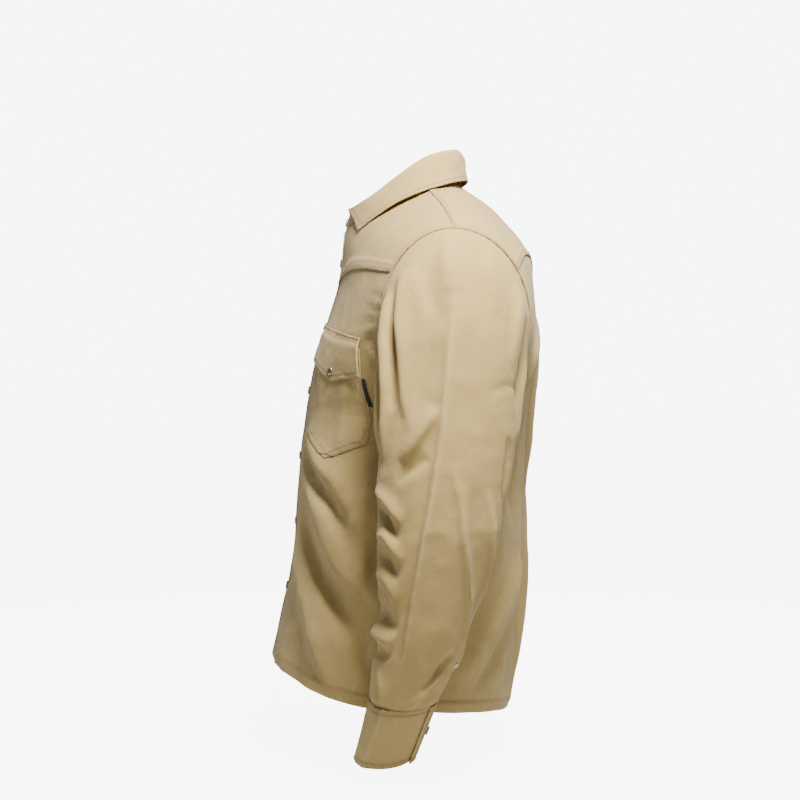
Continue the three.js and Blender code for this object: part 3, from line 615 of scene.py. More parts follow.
def slit_of(side, sleeve):
    """The small placket: 25 mm wide over the slit, and 140 mm up the sleeve from the cuff."""
    def surface(a, b):
        along = 6.99 - b * 140 / RING_STEP
        half = 12.5 / 270 * (1 + 0.35 * (6.99 - along) / -3)
        return sleeve(SLIT * side - (1 - 2 * a) * half, along)
    return surface


for side, word in ((1, "left"), (-1, "right")):
    sleeve = sew["sleeve_" + word] = sleeve_of(side)
    laid = lambda a, b, s=sleeve: s(a, SLEEVE_START + b * SLEEVE_RUN)
    laid.bare = lambda a, b, s=sleeve: s.bare(a, SLEEVE_START + b * SLEEVE_RUN)
    tuck = lambda A, B: -2.6 * (1 - smooth(B * 600, 10.5, 22.5)) - 2.0 * smooth(B * 600, 588, 596)
    laid.worn = lambda a, b, side=side: sleeve_creases(a * side, SLEEVE_START + b * SLEEVE_RUN,
        0 if side > 0 else 1)
    plate(f"cloth_sleeve_{word}", laid, np.arange(160) / 160, lines(600, 3.7, PLAIN, PLAIN), high=tuck,
        low=lambda A, B: tuck(A, B) - 1.0, tube=True, size=(520, 600), rolled="cd")
    cuff = sew["cuff_" + word] = cuff_of(side)
    first = lambda A, side=side: (A if side > 0 else 1 - A)
    under = lambda A, first=first: -3.4 * (1 - smooth(first(A), 0.13, 0.42))
    rim = lambda A, B, under=under: under(A) - 0.4 * np.exp(-((np.minimum(B, 1 - B) * 80 - 6)
        / 0.9) ** 2) + 0.3
    plate(f"cloth_cuff_{word}", cuff, lines(285, 3.6), lines(80, 3), high=rim, low=lambda A, B,
        under=under: under(A) - 1.5, size=(285, 80))
    strip = sew["slit_" + word] = slit_of(side, sleeve)
    plate(f"cloth_sleeve_placket_{word}", strip, lines(25, 2.5, PLAIN, PLAIN), lines(140, 4, PLAIN, PLAIN),
        high=1.6, low=0.5, size=(25, 140))

# %% [markdown]
# ## Collar
# A shirt collar is a stand round the neck and a leaf that folds over it. The leaf is two stiff
# layers, topstitched near its edge, with a dent or two where it has been handled.


# %% Sew the collar
def half_curve(table, around):
    around = np.asarray(around, float)
    past = np.abs(around) > 1
    part = np.where(past, 2 - np.abs(around), np.abs(around))
    p = through_half(table, part * (len(table) - 1))
    return p * np.where(((around < 0) != past)[..., None], [-1, 1, 1], [1, 1, 1])


STAND_END = 1 + 30 / 472


def stand(a, b):
    around, up = STAND_END * (1 - 2 * a), -0.04 + 0.97 * b
    foot, top = half_curve(NECK_SEAM, around), half_curve(FOLD_LINE[:-1] + [[0, -143, -40]], around)
    return foot + (top - foot) * up[..., None]


def leaf(a, b):
    around, down = 1 - 2 * a, 1 - b
    fold, edge = half_curve(FOLD_LINE, around), half_curve(LEAF_EDGE, around)
    out = (edge - fold) * [1, 1, 0]
    out = out / np.linalg.norm(out, axis=-1, keepdims=True)
    d = np.clip(down, 0, 1)
    bulge = 5 * np.sin(np.pi * d ** 0.6)
    p = fold + (edge - fold) * down[..., None]
    dents = 1.5 * uneven(np.stack([around * 7, down * 1.6, 0 * down], -1),
        51) + 1.2 * uneven(np.stack([around * 15, down * 3, 0 * down + 4], -1), 53)
    dents = dents + 1.8 * folds(np.stack([around * 236, down * 50], -1),
        [([(60, 8), (82, 30), (96, 44)], 7, -1.4), ([(112, 6), (130, 26)], 6, 1.2),
        ([(160, 14), (178, 40)], 7, 1.2), ([(-70, 10), (-96, 40)], 7, -1.3),
        ([(-150, 10), (-166, 36)], 6, 1.2)])
    return p + out * (bulge + np.maximum(dents * np.sin(np.pi * d) ** 0.6, -2.5))[..., None]


stand_under = lambda A: -3.6 * smooth(A, 0.7, 0.9)
plate("cloth_collar_stand", stand, lines(500, 4, PLAIN, PLAIN), lines(38, 2.5, PLAIN, PLAIN), high=lambda A,
    B: stand_under(A), low=lambda A, B: stand_under(A) - 1.5, size=(500, 38))
stitched_rim = lambda A, B: 2.1 - 0.45 * np.exp(-((np.minimum(np.minimum(A, 1 - A) * 480, B * 62) - 6.5)
    / 0.9) ** 2) + 0.25 * (np.minimum(np.minimum(A, 1 - A) * 480, B * 62) < 6)
plate("cloth_collar_leaf", leaf, lines(480, 3.6), lines(62, 2.6, FINE, PLAIN), high=stitched_rim, low=0.35,
    size=(480, 62))
sew["stand"], sew["leaf"] = stand, leaf

# %% [markdown]
# ## Chest pockets and flaps
# A pocket is a patch with a pointed foot, a little fuller than the panel under it. Its flap is
# sewn along the top only, and lifts; it stands off over the seam and the pocket's cloth.

# %% Lay the pockets
downs = np.linspace(-20, 200, 111)
down_level = walk(bare_front, 0.448 + 0 * downs, 4.43 + 0 * downs, 1, -downs)[1]
xs = np.linspace(-90, 90, 91)
X = np.meshgrid(xs, downs)[0]
across_at = walk(bare_front, 0.448 + 0 * X, np.broadcast_to(down_level[:, None], X.shape), 0, X)[0]


def on_panel(x, down, side, body):
    """The point x mm outward from the pocket's middle and down mm below the flap's seam."""
    u, v = np.clip((side * x + 90) / 2, 0, 89.999), np.clip((down + 20) / 2, 0, 109.999)
    i, j = u.astype(int), v.astype(int)
    f, g = u - i, v - j
    across = (across_at[j, i] * (1 - f) + across_at[j, i + 1] * f) * (1 - g) + (across_at[j + 1, i] * (1 - f)
        + across_at[j + 1, i + 1] * f) * g
    return body(side * across, np.interp(down, downs, down_level))


pointed = lambda a: 1 - np.abs(2 * a - 1)


def patch(draw, side):
    f = lambda a, b: draw(a, b, side, front)
    f.bare = lambda a, b: draw(a, b, side, bare_front)
    return f


draw_pocket = lambda a, b, side, body: on_panel((a - 0.5) * 130, (142 + 28 * pointed(a)) * (1 - b) + 14 * b,
    side, body)
draw_flap = lambda a, b, side, body: on_panel((a - 0.5) * 134, (50 + 18 * pointed(a)) * (1 - b), side, body)
draw_label = lambda a, b, side, body: on_panel(side * (65.5 + (a if side > 0 else 1 - a) * 6.5),
    52 + 37 * (1 - b), side, body)
rim_of = lambda A, B: np.minimum(np.minimum(A, 1 - A) * 130, B * 150)


def pocket_face(A, B):
    d = rim_of(A, B)
    full = 1.3 * smooth(d, 4, 30) + 1.3 * uneven(np.stack([A * 3.2, B * 3.6, 0 * A + 2], -1), 61) * smooth(d,
        6, 26)
    return 1.5 + np.maximum(full, -0.6) - 0.4 * np.exp(-((d - 7) / 0.9) ** 2) - 0.3 * np.exp(-((d - 1.8)
        / 0.7) ** 2)


def flap_under(A, B):
    """How far the flap's inner face stands off: close at its seam, clear of the pocket below it."""
    down = (1 - B) * 60
    lift = 1.2 + 3.1 * smooth(down, 4, 16) + 1.5 * smooth(np.abs(A - 0.5), 0.25, 0.5) * smooth(down, 20, 55)
    return lift + 0.6 * uneven(np.stack([A * 3, B * 2, 0 * A], -1), 67) * smooth(down, 8, 20)


def flap_face(A, B):
    d = np.minimum(np.minimum(A, 1 - A) * 134, B * 60)
    return flap_under(A, B) + 1.5 - 0.4 * np.exp(-((d - 5.5) / 0.9) ** 2)


for side, word in ((1, "left"), (-1, "right")):
    sew["pocket_" + word], sew["flap_" + word] = patch(draw_pocket, side), patch(draw_flap, side)
    plate(f"cloth_pocket_{word}", sew["pocket_" + word], lines(130, 2.8), lines(150, 2.8, FINE, PLAIN),
        high=pocket_face, low=0.2, size=(130, 150))
    plate(f"cloth_pocket_flap_{word}", sew["flap_" + word], lines(134, 2.4), lines(60, 2.4), high=flap_face,
        low=flap_under, size=(134, 60))
plate("side_label", patch(draw_label, 1), lines(6.5, 1.2, [0, 0.5], [0, 0.5]), lines(37, 1.5, PLAIN, PLAIN),
    high=2.0, low=1.2, size=(6.5, 37))
plate("neck_label_cloth", lambda a, b: back((a - 0.5) * 52 / 330, 7.72 - 0.72 * (1 - b)),
    lines(52, 2.5, PLAIN, PLAIN), lines(30, 2.5, PLAIN, PLAIN), high=-1.6, low=-2.3, size=(52, 30))

# %% [markdown]
# ## Finishes
# The twill's diagonal wales are about a millimetre apart, so they are made from the cloth's own
# UV map, in a node group shared by the cloth and the labels. Colour is uneven as piece-dyed
# cotton is, paler on worn edges and fold crests, and greyer where hands and dust reach.


# %% Node helpers
class Nodes:
    """A short way to place and join nodes."""

    def __init__(self, tree):
        self.tree = tree

    def add(self, kind, inputs=(), **settings):
        node = self.tree.nodes.new(kind)
        for key, value in settings.items():
            setattr(node, key, value)
        for key, value in dict(inputs).items():
            if isinstance(value, bpy.types.NodeSocket):
                self.tree.links.new(value, node.inputs[key])
            else:
                node.inputs[key].default_value = value
        return node

    def math(self, operation, *values, clamp=False):
        return self.add("ShaderNodeMath", dict(enumerate(values)), operation=operation,
            use_clamp=clamp).outputs[0]

    def mix(self, factor, a, b):
        return self.add("ShaderNodeMix", {0: factor, 6: a, 7: b}, data_type="RGBA").outputs[2]

    def noise(self, vector, scale, detail=2, rough=0.5):
        return self.add("ShaderNodeTexNoise", {"Vector": vector, "Scale": scale, "Detail": detail,
            "Roughness": rough}).outputs[0]

    def ramp(self, value, low, high, to_low=0.0, to_high=1.0):
        return self.add("ShaderNodeMapRange", {0: value, 1: low, 2: high, 3: to_low, 4: to_high}).outputs[0]


def group_of(name, inputs, outputs):
    tree = bpy.data.node_groups.new(name, "ShaderNodeTree")
    for key, kind, value in inputs:
        socket = tree.interface.new_socket(key, in_out="INPUT", socket_type=kind)
        if value is not None:
            socket.default_value = value
    for key, kind in outputs:
        tree.interface.new_socket(key, in_out="OUTPUT", socket_type=kind)
    n = Nodes(tree)
    return tree, n, n.add("NodeGroupInput").outputs, n.add("NodeGroupOutput")


# %% Twill weave group
VECTOR, FLOAT = "NodeSocketVector", "NodeSocketFloat"
twill, n, given, out = group_of("Twill weave", [("Vector", VECTOR, None), ("Pitch", FLOAT, 0.0011),
    ("Slub", FLOAT, 1.0)], [("Height", FLOAT), ("Yarn", FLOAT)])
part = n.add("ShaderNodeSeparateXYZ", {0: given["Vector"]}).outputs
wobble = n.math("MULTIPLY", n.noise(given["Vector"], 420, 1), 0.0005)
wale = n.math("DIVIDE", n.math("ADD", n.math("ADD", part[0], part[1]), wobble), given["Pitch"])
crossing = n.math("DIVIDE", n.math("SUBTRACT", part[0], n.math("MULTIPLY", part[1], 0.4)),
    n.math("MULTIPLY", given["Pitch"], 0.8))
tau = 2 * math.pi
ridge = n.math("SINE", n.math("MULTIPLY", wale, tau))
float_over = n.math("SINE", n.math("MULTIPLY", crossing, tau))
height = n.math("ADD", n.math("MULTIPLY", ridge, 0.6),
    n.math("MULTIPLY", n.math("MULTIPLY", float_over, n.math("MAXIMUM", ridge, 0.0)), 0.4))
warp = n.add("ShaderNodeMapping", {"Vector": given["Vector"], "Scale": (900.0, 26.0, 1.0)}).outputs[0]
weft = n.add("ShaderNodeMapping", {"Vector": given["Vector"], "Scale": (26.0, 900.0, 1.0)}).outputs[0]
yarn = n.math("MULTIPLY", n.math("SUBTRACT", n.math("ADD", n.noise(warp, 1.0, 1), n.noise(weft, 1.0, 1)),
    1.0), given["Slub"])
n.tree.links.new(height, out.inputs["Height"])
n.tree.links.new(yarn, out.inputs["Yarn"])

# %% Wear and dust group
wear, n, given, out = group_of("Wear and dust", [("Vector", VECTOR, None), ("Edge", FLOAT, 0.0),
    ("Crest", FLOAT, 0.0)], [("Pale", FLOAT), ("Dust", FLOAT), ("Crumple", FLOAT)])
rub = n.ramp(n.noise(given["Vector"], 60, 3), 0.35, 0.7)
pale = n.math("ADD", n.math("MULTIPLY", given["Edge"], n.math("MULTIPLY_ADD", rub, 0.6, 0.4)),
    n.math("MULTIPLY", n.ramp(given["Crest"], 0.25, 0.9), n.math("MULTIPLY", rub, 0.45)))
dust = n.ramp(n.math("ADD", n.noise(given["Vector"], 7, 4, 0.6), n.math("MULTIPLY", given["Crest"], -0.12)),
    0.48, 0.78)
crumple = n.math("ADD", n.noise(given["Vector"], 38, 3, 0.55),
    n.math("MULTIPLY", n.noise(given["Vector"], 140, 2), 0.3))
for key, value in (("Pale", pale), ("Dust", dust), ("Crumple", crumple)):
    n.tree.links.new(value, out.inputs[key])


# %% Cloth, thread and metal
def finish_of(name, rough, **fixed):
    material = bpy.data.materials.new(name)
    material.use_nodes = True
    n = Nodes(material.node_tree)
    shader = material.node_tree.nodes["Principled BSDF"]
    shader.inputs["Roughness"].default_value = rough
    for key, value in fixed.items():
        shader.inputs[key.replace("_", " ")].default_value = value
    return material, n, shader


def woven(name, base, pale, dust_and_shade_colour, pitch=0.0011, grain=0.10):
    material, n, shader = finish_of(name, 0.9, Sheen_Weight=0.12, Sheen_Roughness=0.6,
        Specular_IOR_Level=0.25)
    where = n.add("ShaderNodeTexCoord").outputs["Object"]
    uv = n.add("ShaderNodeUVMap", uv_map="Weave").outputs[0]
    edge, crest, stitch_shade, pull = (n.add("ShaderNodeAttribute",
        attribute_name=key).outputs["Fac"] for key in ("edge", "crest", "stitch_shade", "pull"))
    weave = n.add("ShaderNodeGroup", node_tree=twill)
    weave.inputs["Pitch"].default_value = pitch
    worn = n.add("ShaderNodeGroup", node_tree=wear)
    for node, key, value in ((weave, "Vector", uv), (worn, "Vector", where), (worn, "Edge", edge),
        (worn, "Crest", crest)):
        n.tree.links.new(value, node.inputs[key])
    mottle = n.ramp(n.noise(where, 11, 4, 0.6), 0.3, 0.7, -0.05, 0.05)
    tone = n.math("ADD", n.math("ADD", mottle, n.math("MULTIPLY", weave.outputs["Yarn"], 0.10)),
        n.math("MULTIPLY", weave.outputs["Height"], 0.05))
    colour = n.mix(n.math("MULTIPLY", worn.outputs["Pale"], 0.55, clamp=True), base, pale)
    colour = n.mix(n.math("MULTIPLY", worn.outputs["Dust"], 0.22), colour, dust_and_shade_colour)
    # painted shade: cloth within about 2 mm of a stitch row is darkened to the dark colour, standing in for
    # the shade in the stitch groove
    colour = n.mix(n.math("MULTIPLY", stitch_shade, 0.95), colour, dust_and_shade_colour)
    colour = n.add("ShaderNodeHueSaturation", {"Color": colour, "Value": n.math("ADD", tone, 1.0)}).outputs[0]
    n.tree.links.new(colour, shader.inputs["Base Color"])
    n.tree.links.new(n.ramp(worn.outputs["Dust"], 0, 1, 0.86, 0.97), shader.inputs["Roughness"])
    soft = n.add("ShaderNodeBump", {"Strength": 0.24, "Distance": 0.004,
        "Height": worn.outputs["Crumple"]}).outputs[0]
    puckers = n.math("MULTIPLY", n.noise(where, 170, 1), pull)
    soft = n.add("ShaderNodeBump", {"Strength": 0.25, "Distance": 0.003, "Height": puckers,
        "Normal": soft}).outputs[0]
    bump = n.add("ShaderNodeBump", {"Strength": grain, "Distance": 0.0006, "Height": weave.outputs["Height"],
        "Normal": soft}).outputs[0]
    n.tree.links.new(bump, shader.inputs["Normal"])
    return material


def plain(name, base, rough, worn_to, scale, metallic=0.0, **fixed):
    material, n, shader = finish_of(name, rough, Metallic=metallic, **fixed)
    where = n.add("ShaderNodeTexCoord").outputs["Object"]
    grain = n.noise(where, scale, 3)
    n.tree.links.new(n.mix(n.ramp(grain, 0.4, 0.7), base, worn_to), shader.inputs["Base Color"])
    n.tree.links.new(n.ramp(grain, 0.3, 0.7, rough * 0.8, min(1, rough * 1.25)), shader.inputs["Roughness"])
    n.tree.links.new(n.add("ShaderNodeBump", {"Strength": 0.15, "Distance": 0.0003,
        "Height": grain}).outputs[0], shader.inputs["Normal"])
    return material


khaki = woven("Khaki twill", (0.42, 0.311, 0.126, 1), (0.62, 0.49, 0.25, 1), (0.26, 0.185, 0.075, 1))
thread = plain("Khaki thread", (0.46, 0.32, 0.14, 1), 0.75, (0.60, 0.45, 0.24, 1), 900)
black_tape = woven("Black woven tape", (0.010, 0.010, 0.012, 1), (0.03, 0.03, 0.032, 1),
    (0.02, 0.02, 0.02, 1), 0.0008, 0.2)
cream_tape = woven("Cream woven label", (0.62, 0.57, 0.47, 1), (0.72, 0.68, 0.58, 1), (0.5, 0.46, 0.38, 1),
    0.0008, 0.2)
snap_metal = plain("Antique snap metal", (0.46, 0.42, 0.35, 1), 0.32, (0.30, 0.26, 0.20, 1), 700, 1.0)
pearl = plain("Cream button", (0.70, 0.62, 0.46, 1), 0.3, (0.62, 0.53, 0.38, 1), 260, Coat_Weight=0.4)
for name, entry in made.items():
    entry["obj"].data.materials.append(black_tape if name == "side_label" else cream_tape if name.startswith("neck_label") else khaki)
print("finishes:", [m.name for m in bpy.data.materials if m.users])

# %% [markdown]
# ## Topstitching
# Every seam of a work jacket is sewn down with one or two rows of thread. A row is drawn on the
# surface it holds, a set distance in from an edge. Geometry Nodes turn the rows into curves,
# space stitches along them and lay each one along its row and flat on the cloth, which keeps
# the pitch even and makes the number of rows no trouble. One mesh is made for each body.

# %% Rows of stitches
rows = {}


def draw_row(body, surface, a, b, lift):
    n = normal(surface, a, b)
    rows.setdefault(body, []).append((surface(a, b) + n * np.asarray(lift)[..., None], n))


def edge_row(body, name, side, inset, start=0.0, end=1.0, ends=1.5):
    """A row along one side of a panel (a low, b high, c low, d high), inset by some millimetres."""
    piece = made[name]
    width, length = piece["size"]
    run, deep = (length, width) if side in "ab" else (width, length)
    t = np.linspace(max(start, ends / run), min(end, 1 - ends / run), max(8, int(run * (end - start) / 2.5)))
    d = inset / deep + 0 * t
    a, b = {"a": (d, t), "b": (1 - d, t), "c": (t, d), "d": (t, 1 - d)}[side]
    high = piece["high"](a, b) if callable(piece["high"]) else piece["high"] + 0 * t
    draw_row(body, piece["surface"], a, b, high + 0.12)


for side, word in ((1, "left"), (-1, "right")):
    outer, arm, lifted = "b" if side > 0 else "a", f"sleeve_{word}_body", f"flap_{word}_body"
    for inset in (1.9, 8):
        edge_row("torso", f"cloth_front_panel_{word}", outer, inset)
        edge_row("torso", f"cloth_front_yoke_{word}", outer, inset)
        edge_row("torso", f"cloth_front_yoke_{word}", "c", inset)
        edge_row("torso", "cloth_back_panel", outer, inset, 0.77, 1)
        edge_row("torso", "cloth_back_yoke", outer, inset)
        edge_row("torso", "cloth_back_yoke", "d", inset, 0.685 if side > 0 else 0.0,
            1.0 if side > 0 else 0.315)
    edge_row("torso", f"cloth_front_panel_{word}", "c", 8)
    for inset in (1.8, 7):
        for edge in "abc":
            edge_row("torso", f"cloth_pocket_{word}", edge, inset, ends=inset)
        edge_row(lifted, f"cloth_pocket_flap_{word}", "d", inset)
        for edge in "cd":
            edge_row(arm, f"cloth_cuff_{word}", edge, inset - 0.5)
    for edge in "abc":
        edge_row(lifted, f"cloth_pocket_flap_{word}", edge, 5.5, ends=5.5)
    edge_row("torso", "cloth_placket_over", outer, 6)
    for edge in "ab":
        edge_row(arm, f"cloth_cuff_{word}", edge, 6)
        edge_row(arm, f"cloth_sleeve_placket_{word}", edge, 2)
for edge in "abc":
    edge_row("torso", "cloth_collar_leaf", edge, 6.5, ends=6.5)
for inset in (1.9, 8):
    edge_row("torso", "cloth_back_yoke", "c", inset)
edge_row("torso", "cloth_back_panel", "c", 8)
edge_row("torso", "cloth_collar_stand", "c", 3)
print("rows:", {body: len(drawn) for body, drawn in rows.items()})

# %% Mark the cloth beside each row
# Cloth is pressed and a little drawn in where thread holds it. Each point of a panel learns how
# near the closest row is, and the finish puckers it there and darkens it with painted shade of the stitch
# groove.
from mathutils.kdtree import KDTree

sewn = np.concatenate([p for drawn in rows.values() for p, _ in drawn]) / 1000
tree = KDTree(len(sewn))
for i, p in enumerate(sewn):
    tree.insert(p, i)
tree.balance()
for entry in made.values():
    mesh = entry["obj"].data
    away = np.array([tree.find(v.co)[2] for v in mesh.vertices])
    # this attribute marks where painted shade darkens the cloth beside a stitch row
    mesh.attributes.new("stitch_shade", "FLOAT", "POINT").data.foreach_set("value",
        np.exp(-(away / 0.002) ** 2).astype(np.float32))
    mesh.attributes.new("pull", "FLOAT", "POINT").data.foreach_set("value",
        np.exp(-(away / 0.0085) ** 2).astype(np.float32))
t = np.linspace(0, 1, 60)
for side, word in ((1, "left"),
    (-1, "right")):  # the elbow dart is sewn on the inside, so its cloth isn't flattened
    draw_row(f"sleeve_{word}_body", sew["sleeve_" + word], side * (56 - 46 * t) / 360, 2.82 - 0.56 * t,
        0.15 + 0 * t)
print("points along rows:", len(sewn))


# %% Geometry Nodes trees
def tree_of(name, inputs):
    tree = bpy.data.node_groups.new(name, "GeometryNodeTree")
    tree.interface.new_socket("Geometry", in_out="INPUT", socket_type="NodeSocketGeometry")
    for key, kind in inputs:
        tree.interface.new_socket(key, in_out="INPUT", socket_type=kind)
    tree.interface.new_socket("Geometry", in_out="OUTPUT", socket_type="NodeSocketGeometry")
    n = Nodes(tree)
    return tree, n, n.add("NodeGroupInput").outputs, n.add("NodeGroupOutput")


def place_on(n, points, given, rotation):
    unit = n.add("GeometryNodeObjectInfo", {"Object": given["Unit"]},
        transform_space="ORIGINAL").outputs["Geometry"]
    laid = n.add("GeometryNodeInstanceOnPoints", {"Points": points, "Instance": unit,
        "Rotation": rotation}).outputs[0]
    real = n.add("GeometryNodeRealizeInstances", {0: laid}).outputs[0]
    return n.add("GeometryNodeSetMaterial", {"Geometry": real, "Material": given["Finish"]}).outputs[0]


def stood_up(n):
    """The turn that stands a unit on its point, along the direction stored there."""
    facing = n.add("GeometryNodeInputNamedAttribute", {"Name": "facing"}, data_type="FLOAT_VECTOR").outputs[0]
    return n.add("FunctionNodeAlignRotationToVector", {"Vector": facing}, axis="Z").outputs[0]


UNIT = [("Unit", "NodeSocketObject"), ("Finish", "NodeSocketMaterial")]
stitching, n, given, out = tree_of("Stitches along rows", [("Pitch", "NodeSocketFloat")] + UNIT)
curves = n.add("GeometryNodeMeshToCurve", {"Mesh": given["Geometry"]}).outputs[0]
spaced = n.add("GeometryNodeResampleCurve", {"Curve": curves, "Length": given["Pitch"]},
    mode="LENGTH").outputs[0]
upright = stood_up(n)
along = n.add("FunctionNodeAlignRotationToVector",
    {"Rotation": upright, "Vector": n.add("GeometryNodeInputTangent").outputs[0]}, axis="X",
    pivot_axis="Z").outputs[0]
n.tree.links.new(place_on(n, spaced, given, along), out.inputs[0])

fixing, n, given, out = tree_of("Snaps on points", UNIT)
upright = stood_up(n)
n.tree.links.new(place_on(n, given["Geometry"], given, upright), out.inputs[0])


def grow(name, tree, chains, values):
    """Run a tree on chains of points and keep its result as one plain mesh."""
    points = np.concatenate([p for p, _ in chains]) / 1000
    starts = np.cumsum([0] + [len(p) for p, _ in chains])
    edges = [(i, i + 1) for s, e in zip(starts[:-1], starts[1:]) for i in range(s, e - 1)]
    mesh = bpy.data.meshes.new(name + "_rows")
    mesh.from_pydata(points.tolist(), edges, [])
    mesh.attributes.new("facing", "FLOAT_VECTOR", "POINT").data.foreach_set("vector",
        np.concatenate([v for _, v in chains]).astype(np.float32).ravel())
    holder = bpy.data.objects.new(name + "_rows", mesh)
    bpy.context.scene.collection.objects.link(holder)
    modifier = holder.modifiers.new("Grow", "NODES")
    modifier.node_group = tree
    for item in tree.interface.items_tree:
        if item.in_out == "INPUT" and item.name in values:
            modifier[item.identifier] = values[item.name]
    bpy.context.view_layer.update()
    result = bpy.data.meshes.new_from_object(holder.evaluated_get(bpy.context.evaluated_depsgraph_get()))
    bpy.data.objects.remove(holder)
    result.shade_smooth()
    obj = bpy.data.objects.new(name, result)
    bpy.context.scene.collection.objects.link(obj)
    print(name, len(result.polygons), "faces")
    return obj


def turned_unit(name, profile, around):
    """A turned piece about Z; profile is (radius, height) in millimetres from its foot to its top."""
    ring = np.linspace(0, 2 * np.pi, around, endpoint=False)
    points = [(0, 0, profile[0][1])] + [(r * math.cos(t), r * math.sin(t), h) for r,
        h in profile for t in ring] + [(0, 0, profile[-1][1])]
    at = lambda j, i: 1 + j * around + i % around
    faces = [(0, at(0, i + 1), at(0, i)) for i in range(around)] + [(at(j, i), at(j, i + 1), at(j + 1, i + 1),
        at(j + 1, i)) for j in range(len(profile) - 1) for i in range(around)]
    faces += [(at(len(profile) - 1, i), at(len(profile) - 1, i + 1), len(points) - 1) for i in range(around)]
    mesh = bpy.data.meshes.new(name)
    mesh.from_pydata((np.array(points) / 1000).tolist(), [], faces)
    return bpy.data.objects.new(name, mesh)


# %% Sew the stitches
stitch_unit = turned_unit("stitch", [(0.13, -1.25), (0.27, -1.0), (0.30, 0), (0.27, 1.0), (0.13, 1.25)], 5)
spin = np.array([v.co for v in stitch_unit.data.vertices])
bent = np.stack([spin[:, 2], spin[:, 1], -spin[:, 0] - 40 * spin[:, 2] ** 2], -1)
stitch_unit.data.vertices.foreach_set("co", bent.astype(np.float32).ravel())
stitches = {body: grow("stitches_" + body, stitching, drawn,
    {"Pitch": 0.0031, "Unit": stitch_unit, "Finish": thread}) for body, drawn in rows.items()}

# %% [markdown]
# ## Snaps
# The closures are press snaps: a ring-rimmed cap outside, a stud on the layer under it. One
# turned unit is drawn from its profile and Geometry Nodes stand it on each fixing point.

# %% Set the snaps
SNAP = [(3.6, -3.1), (3.8, -2.9), (3.7, -2.3), (1.7, -2.1), (1.7, -0.3), (5.3, -0.1), (5.6, 0.3), (5.6, 1.0),
    (5.3, 1.6), (4.8, 1.9),
        (4.2, 1.8), (3.9, 1.3), (3.5, 1.1), (2.4, 1.35), (1.2, 1.5)]
BUTTON = [(1.6, -3.0), (1.6, -0.2), (5.4, -0.1), (5.8, 0.4), (5.8, 1.2), (5.4, 1.8), (4.7, 2.1), (4.2, 1.9),
    (3.6, 1.5), (2.0, 1.35), (0.8, 1.3)]
snap_unit, button_unit = turned_unit("snap", SNAP, 28), turned_unit("button", BUTTON, 28)


def fixing_point(surface, a, b, lift):
    a, b = np.array([a], float), np.array([b], float)
    n = normal(surface, a, b)
    return surface(a, b) + n * lift, n


snap_levels = walk(bare_front, np.zeros(6), np.full(6, 6.0), 1, -(44.0 + 89 * np.arange(6)), steps=24)[1]
snaps = {"front_snaps": grow("front_snaps", fixing,
    [fixing_point(front, 0, level, 1.6) for level in snap_levels], {"Unit": snap_unit, "Finish": snap_metal})}
snaps["stand_button"] = grow("stand_button", fixing,
    [fixing_point(stand, 30 / 472 / 2 / STAND_END, 0.5, 0.1)], {"Unit": button_unit, "Finish": pearl})
for side, word in ((1, "left"), (-1, "right")):
    lap_at = 1 - cuff_lap / 2 / (1 + cuff_lap)
    points = [fixing_point(sew["cuff_" + word], lap_at if side > 0 else 1 - lap_at, 0.5, 0.4),
        fixing_point(sew["slit_" + word], 0.5, 0.36, 1.7)]
    snaps["sleeve_snaps_" + word] = grow("sleeve_snaps_" + word, fixing, points,
        {"Unit": snap_unit, "Finish": snap_metal})
    lift = float(flap_face(np.array(0.5), np.array(14 / 68)))
    snaps["flap_snap_" + word] = grow("flap_snap_" + word, fixing,
        [fixing_point(sew["flap_" + word], 0.5, 14 / 68, lift)], {"Unit": snap_unit, "Finish": snap_metal})

# %% [markdown]
# ## Joining the cloth to the model
# Each piece stands for a imported node and moves with its body. The sleeve's cloth crosses the
# armhole, so it stays where it is made and is tied to no body.

# %% Bodies, nodes and flat sizes
def attach(obj, body, nodes):
    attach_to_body(obj, body)
    if nodes:
        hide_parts(*nodes)


for name, entry in made.items():
    obj, node = entry["obj"], name.replace("cloth_", "", 1)
    side = 1 if name.endswith("left") else -1
    node = {"placket_over": "placket_left", "placket_under": "placket_right", "side_label": "pocket_label",
        "neck_label_cloth": "neck_label"}.get(node, node)
    if node.startswith("sleeve_left") or node.startswith("sleeve_right"):
        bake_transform(obj)
        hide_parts(node)
    else:
        body = f"flap_{node.split('_')[-1]}_body" if "flap" in node else f"sleeve_{node.split('_')[-1]}_body" if node.startswith(("cuff", "sleeve")) else "torso"
        attach(obj, body, [node])
for body, obj in stitches.items():
    attach(obj, body, [])
numbered = lambda kind: [f"front_snap_{kind}_{i + 1}" for i in range(6)]
attach(snaps["front_snaps"], "torso", numbered("cap") + numbered("stud"))
attach(snaps["stand_button"], "torso", ["stand_snap_cap", "stand_snap_stud"])
for word in ("left", "right"):
    attach(snaps["sleeve_snaps_" + word], f"sleeve_{word}_body",
        [f"{p}_snap_{q}_{word}" for p in ("cuff", "sleeve") for q in ("cap", "stud")])
    attach(snaps["flap_snap_" + word], f"flap_{word}_body",
        [f"pocket_snap_{q}_{word}" for q in ("cap", "stud")])

# %% [markdown]
# ## Floor, light and camera
# A plain pale floor and a pale surround keep attention on the cloth. A warm light close over the
# left shoulder shapes the folds, and broader, weaker lights fill the shade on every side.

# %% Stage
ring = np.linspace(0, 2 * np.pi, 96, endpoint=False)
floor_mesh = bpy.data.meshes.new("floor")
floor_mesh.from_pydata([(30 * math.cos(t), 30 * math.sin(t), float(cad_box[0][2]) - 0.02) for t in ring], [],
    [tuple(range(96))])
floor = bpy.data.objects.new("floor", floor_mesh)
bpy.context.scene.collection.objects.link(floor)
floor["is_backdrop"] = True
pale_floor, n, shader = finish_of("Pale floor", 0.9)
shader.inputs["Base Color"].default_value = (0.6, 0.6, 0.59, 1)
shader.inputs["Emission Color"].default_value = (1, 1, 1, 1)
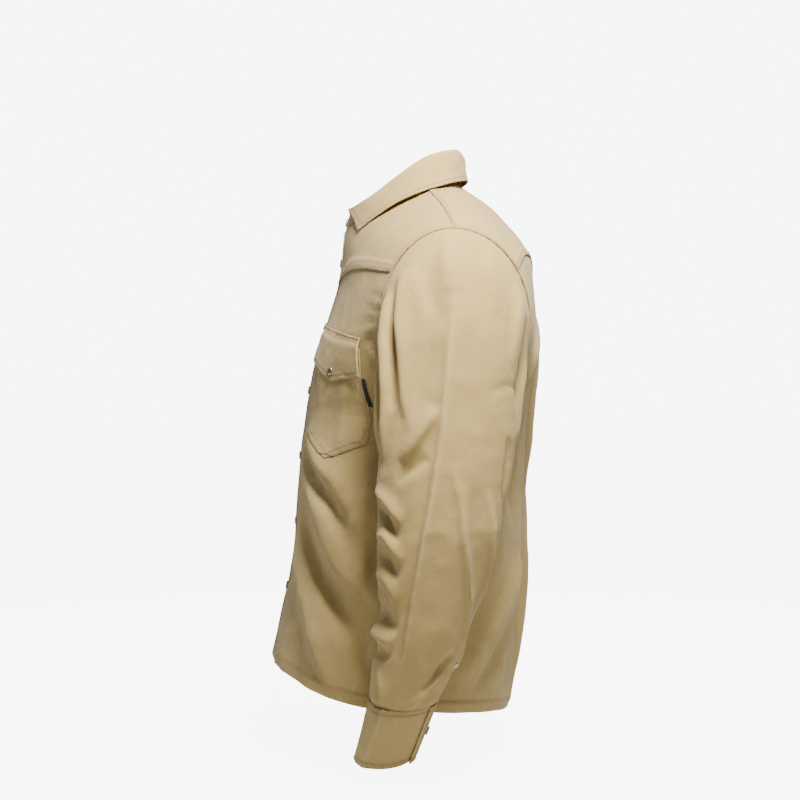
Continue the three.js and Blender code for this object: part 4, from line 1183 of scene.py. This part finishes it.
# It glows only as the camera sees it, so it looks pale without lighting the cloth from below.
seen = n.add("ShaderNodeLightPath").outputs["Is Camera Ray"]
n.tree.links.new(n.math("MULTIPLY", seen, 7.4), shader.inputs["Emission Strength"])
floor_mesh.materials.append(pale_floor)
world = bpy.context.scene.world or bpy.data.worlds.new("Studio")
bpy.context.scene.world = world
world.use_nodes = True
n = Nodes(world.node_tree)
sky = world.node_tree.nodes["Background"]
sky.inputs[0].default_value = (0.97, 0.98, 1.0, 1)
seen = n.add("ShaderNodeLightPath").outputs["Is Camera Ray"]
n.tree.links.new(n.ramp(seen, 0, 1, 0.10, 8.0), sky.inputs[1])  # the backdrop is paler than its light


def soft_light(name, place, target, power, size, colour=(1, 1, 1)):
    light = bpy.data.lights.new(name, "AREA")
    light.energy, light.size, light.color = power, size, colour
    obj = bpy.data.objects.new(name, light)
    bpy.context.scene.collection.objects.link(obj)
    obj.location = place
    toward = np.array(target) - np.array(place)
    obj.rotation_euler = (math.acos(-toward[2] / np.linalg.norm(toward)), 0,
        math.atan2(toward[1], toward[0]) - math.pi / 2)


soft_light("Key", (0.64, 0.10, 0.60), (0.22, -0.01, -0.25), 39, 0.28, (1, 0.93, 0.79))
soft_light("Fill", (1.8, -1.3, 0.1), (0, 0, -0.4), 1.6, 1.4, (0.80, 0.92, 1))
soft_light("Back", (-0.9, 0.9, 0.8), (0, 0, -0.3), 20, 0.8, (0.94, 0.97, 1))
soft_light("Front", (-1.0, -1.2, 0.6), (-0.1, 0, -0.3), 10, 0.8, (0.92, 0.96, 1))
soft_light("Right", (-1.9, -0.1, 0.5), (-0.25, 0, -0.35), 12, 1.0, (1, 0.97, 0.92))

# %% Camera
camera = bpy.data.cameras.new("Camera")
camera.lens, camera.sensor_width = 79.4, 36
eye = bpy.data.objects.new("Camera", camera)
bpy.context.scene.collection.objects.link(eye)
eye.location, eye.rotation_euler = (2.4, -0.075, -0.295), (math.pi / 2, 0, math.pi / 2)
bpy.context.scene.camera = eye

# %% Sizes and finish
visual_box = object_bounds()
numbers = lambda box: [[round(float(v), 5) for v in corner] for corner in box]
{"cad": numbers(cad_box), "visual": numbers(visual_box)}
print("cad box", numbers(cad_box), "visual box", numbers(visual_box))
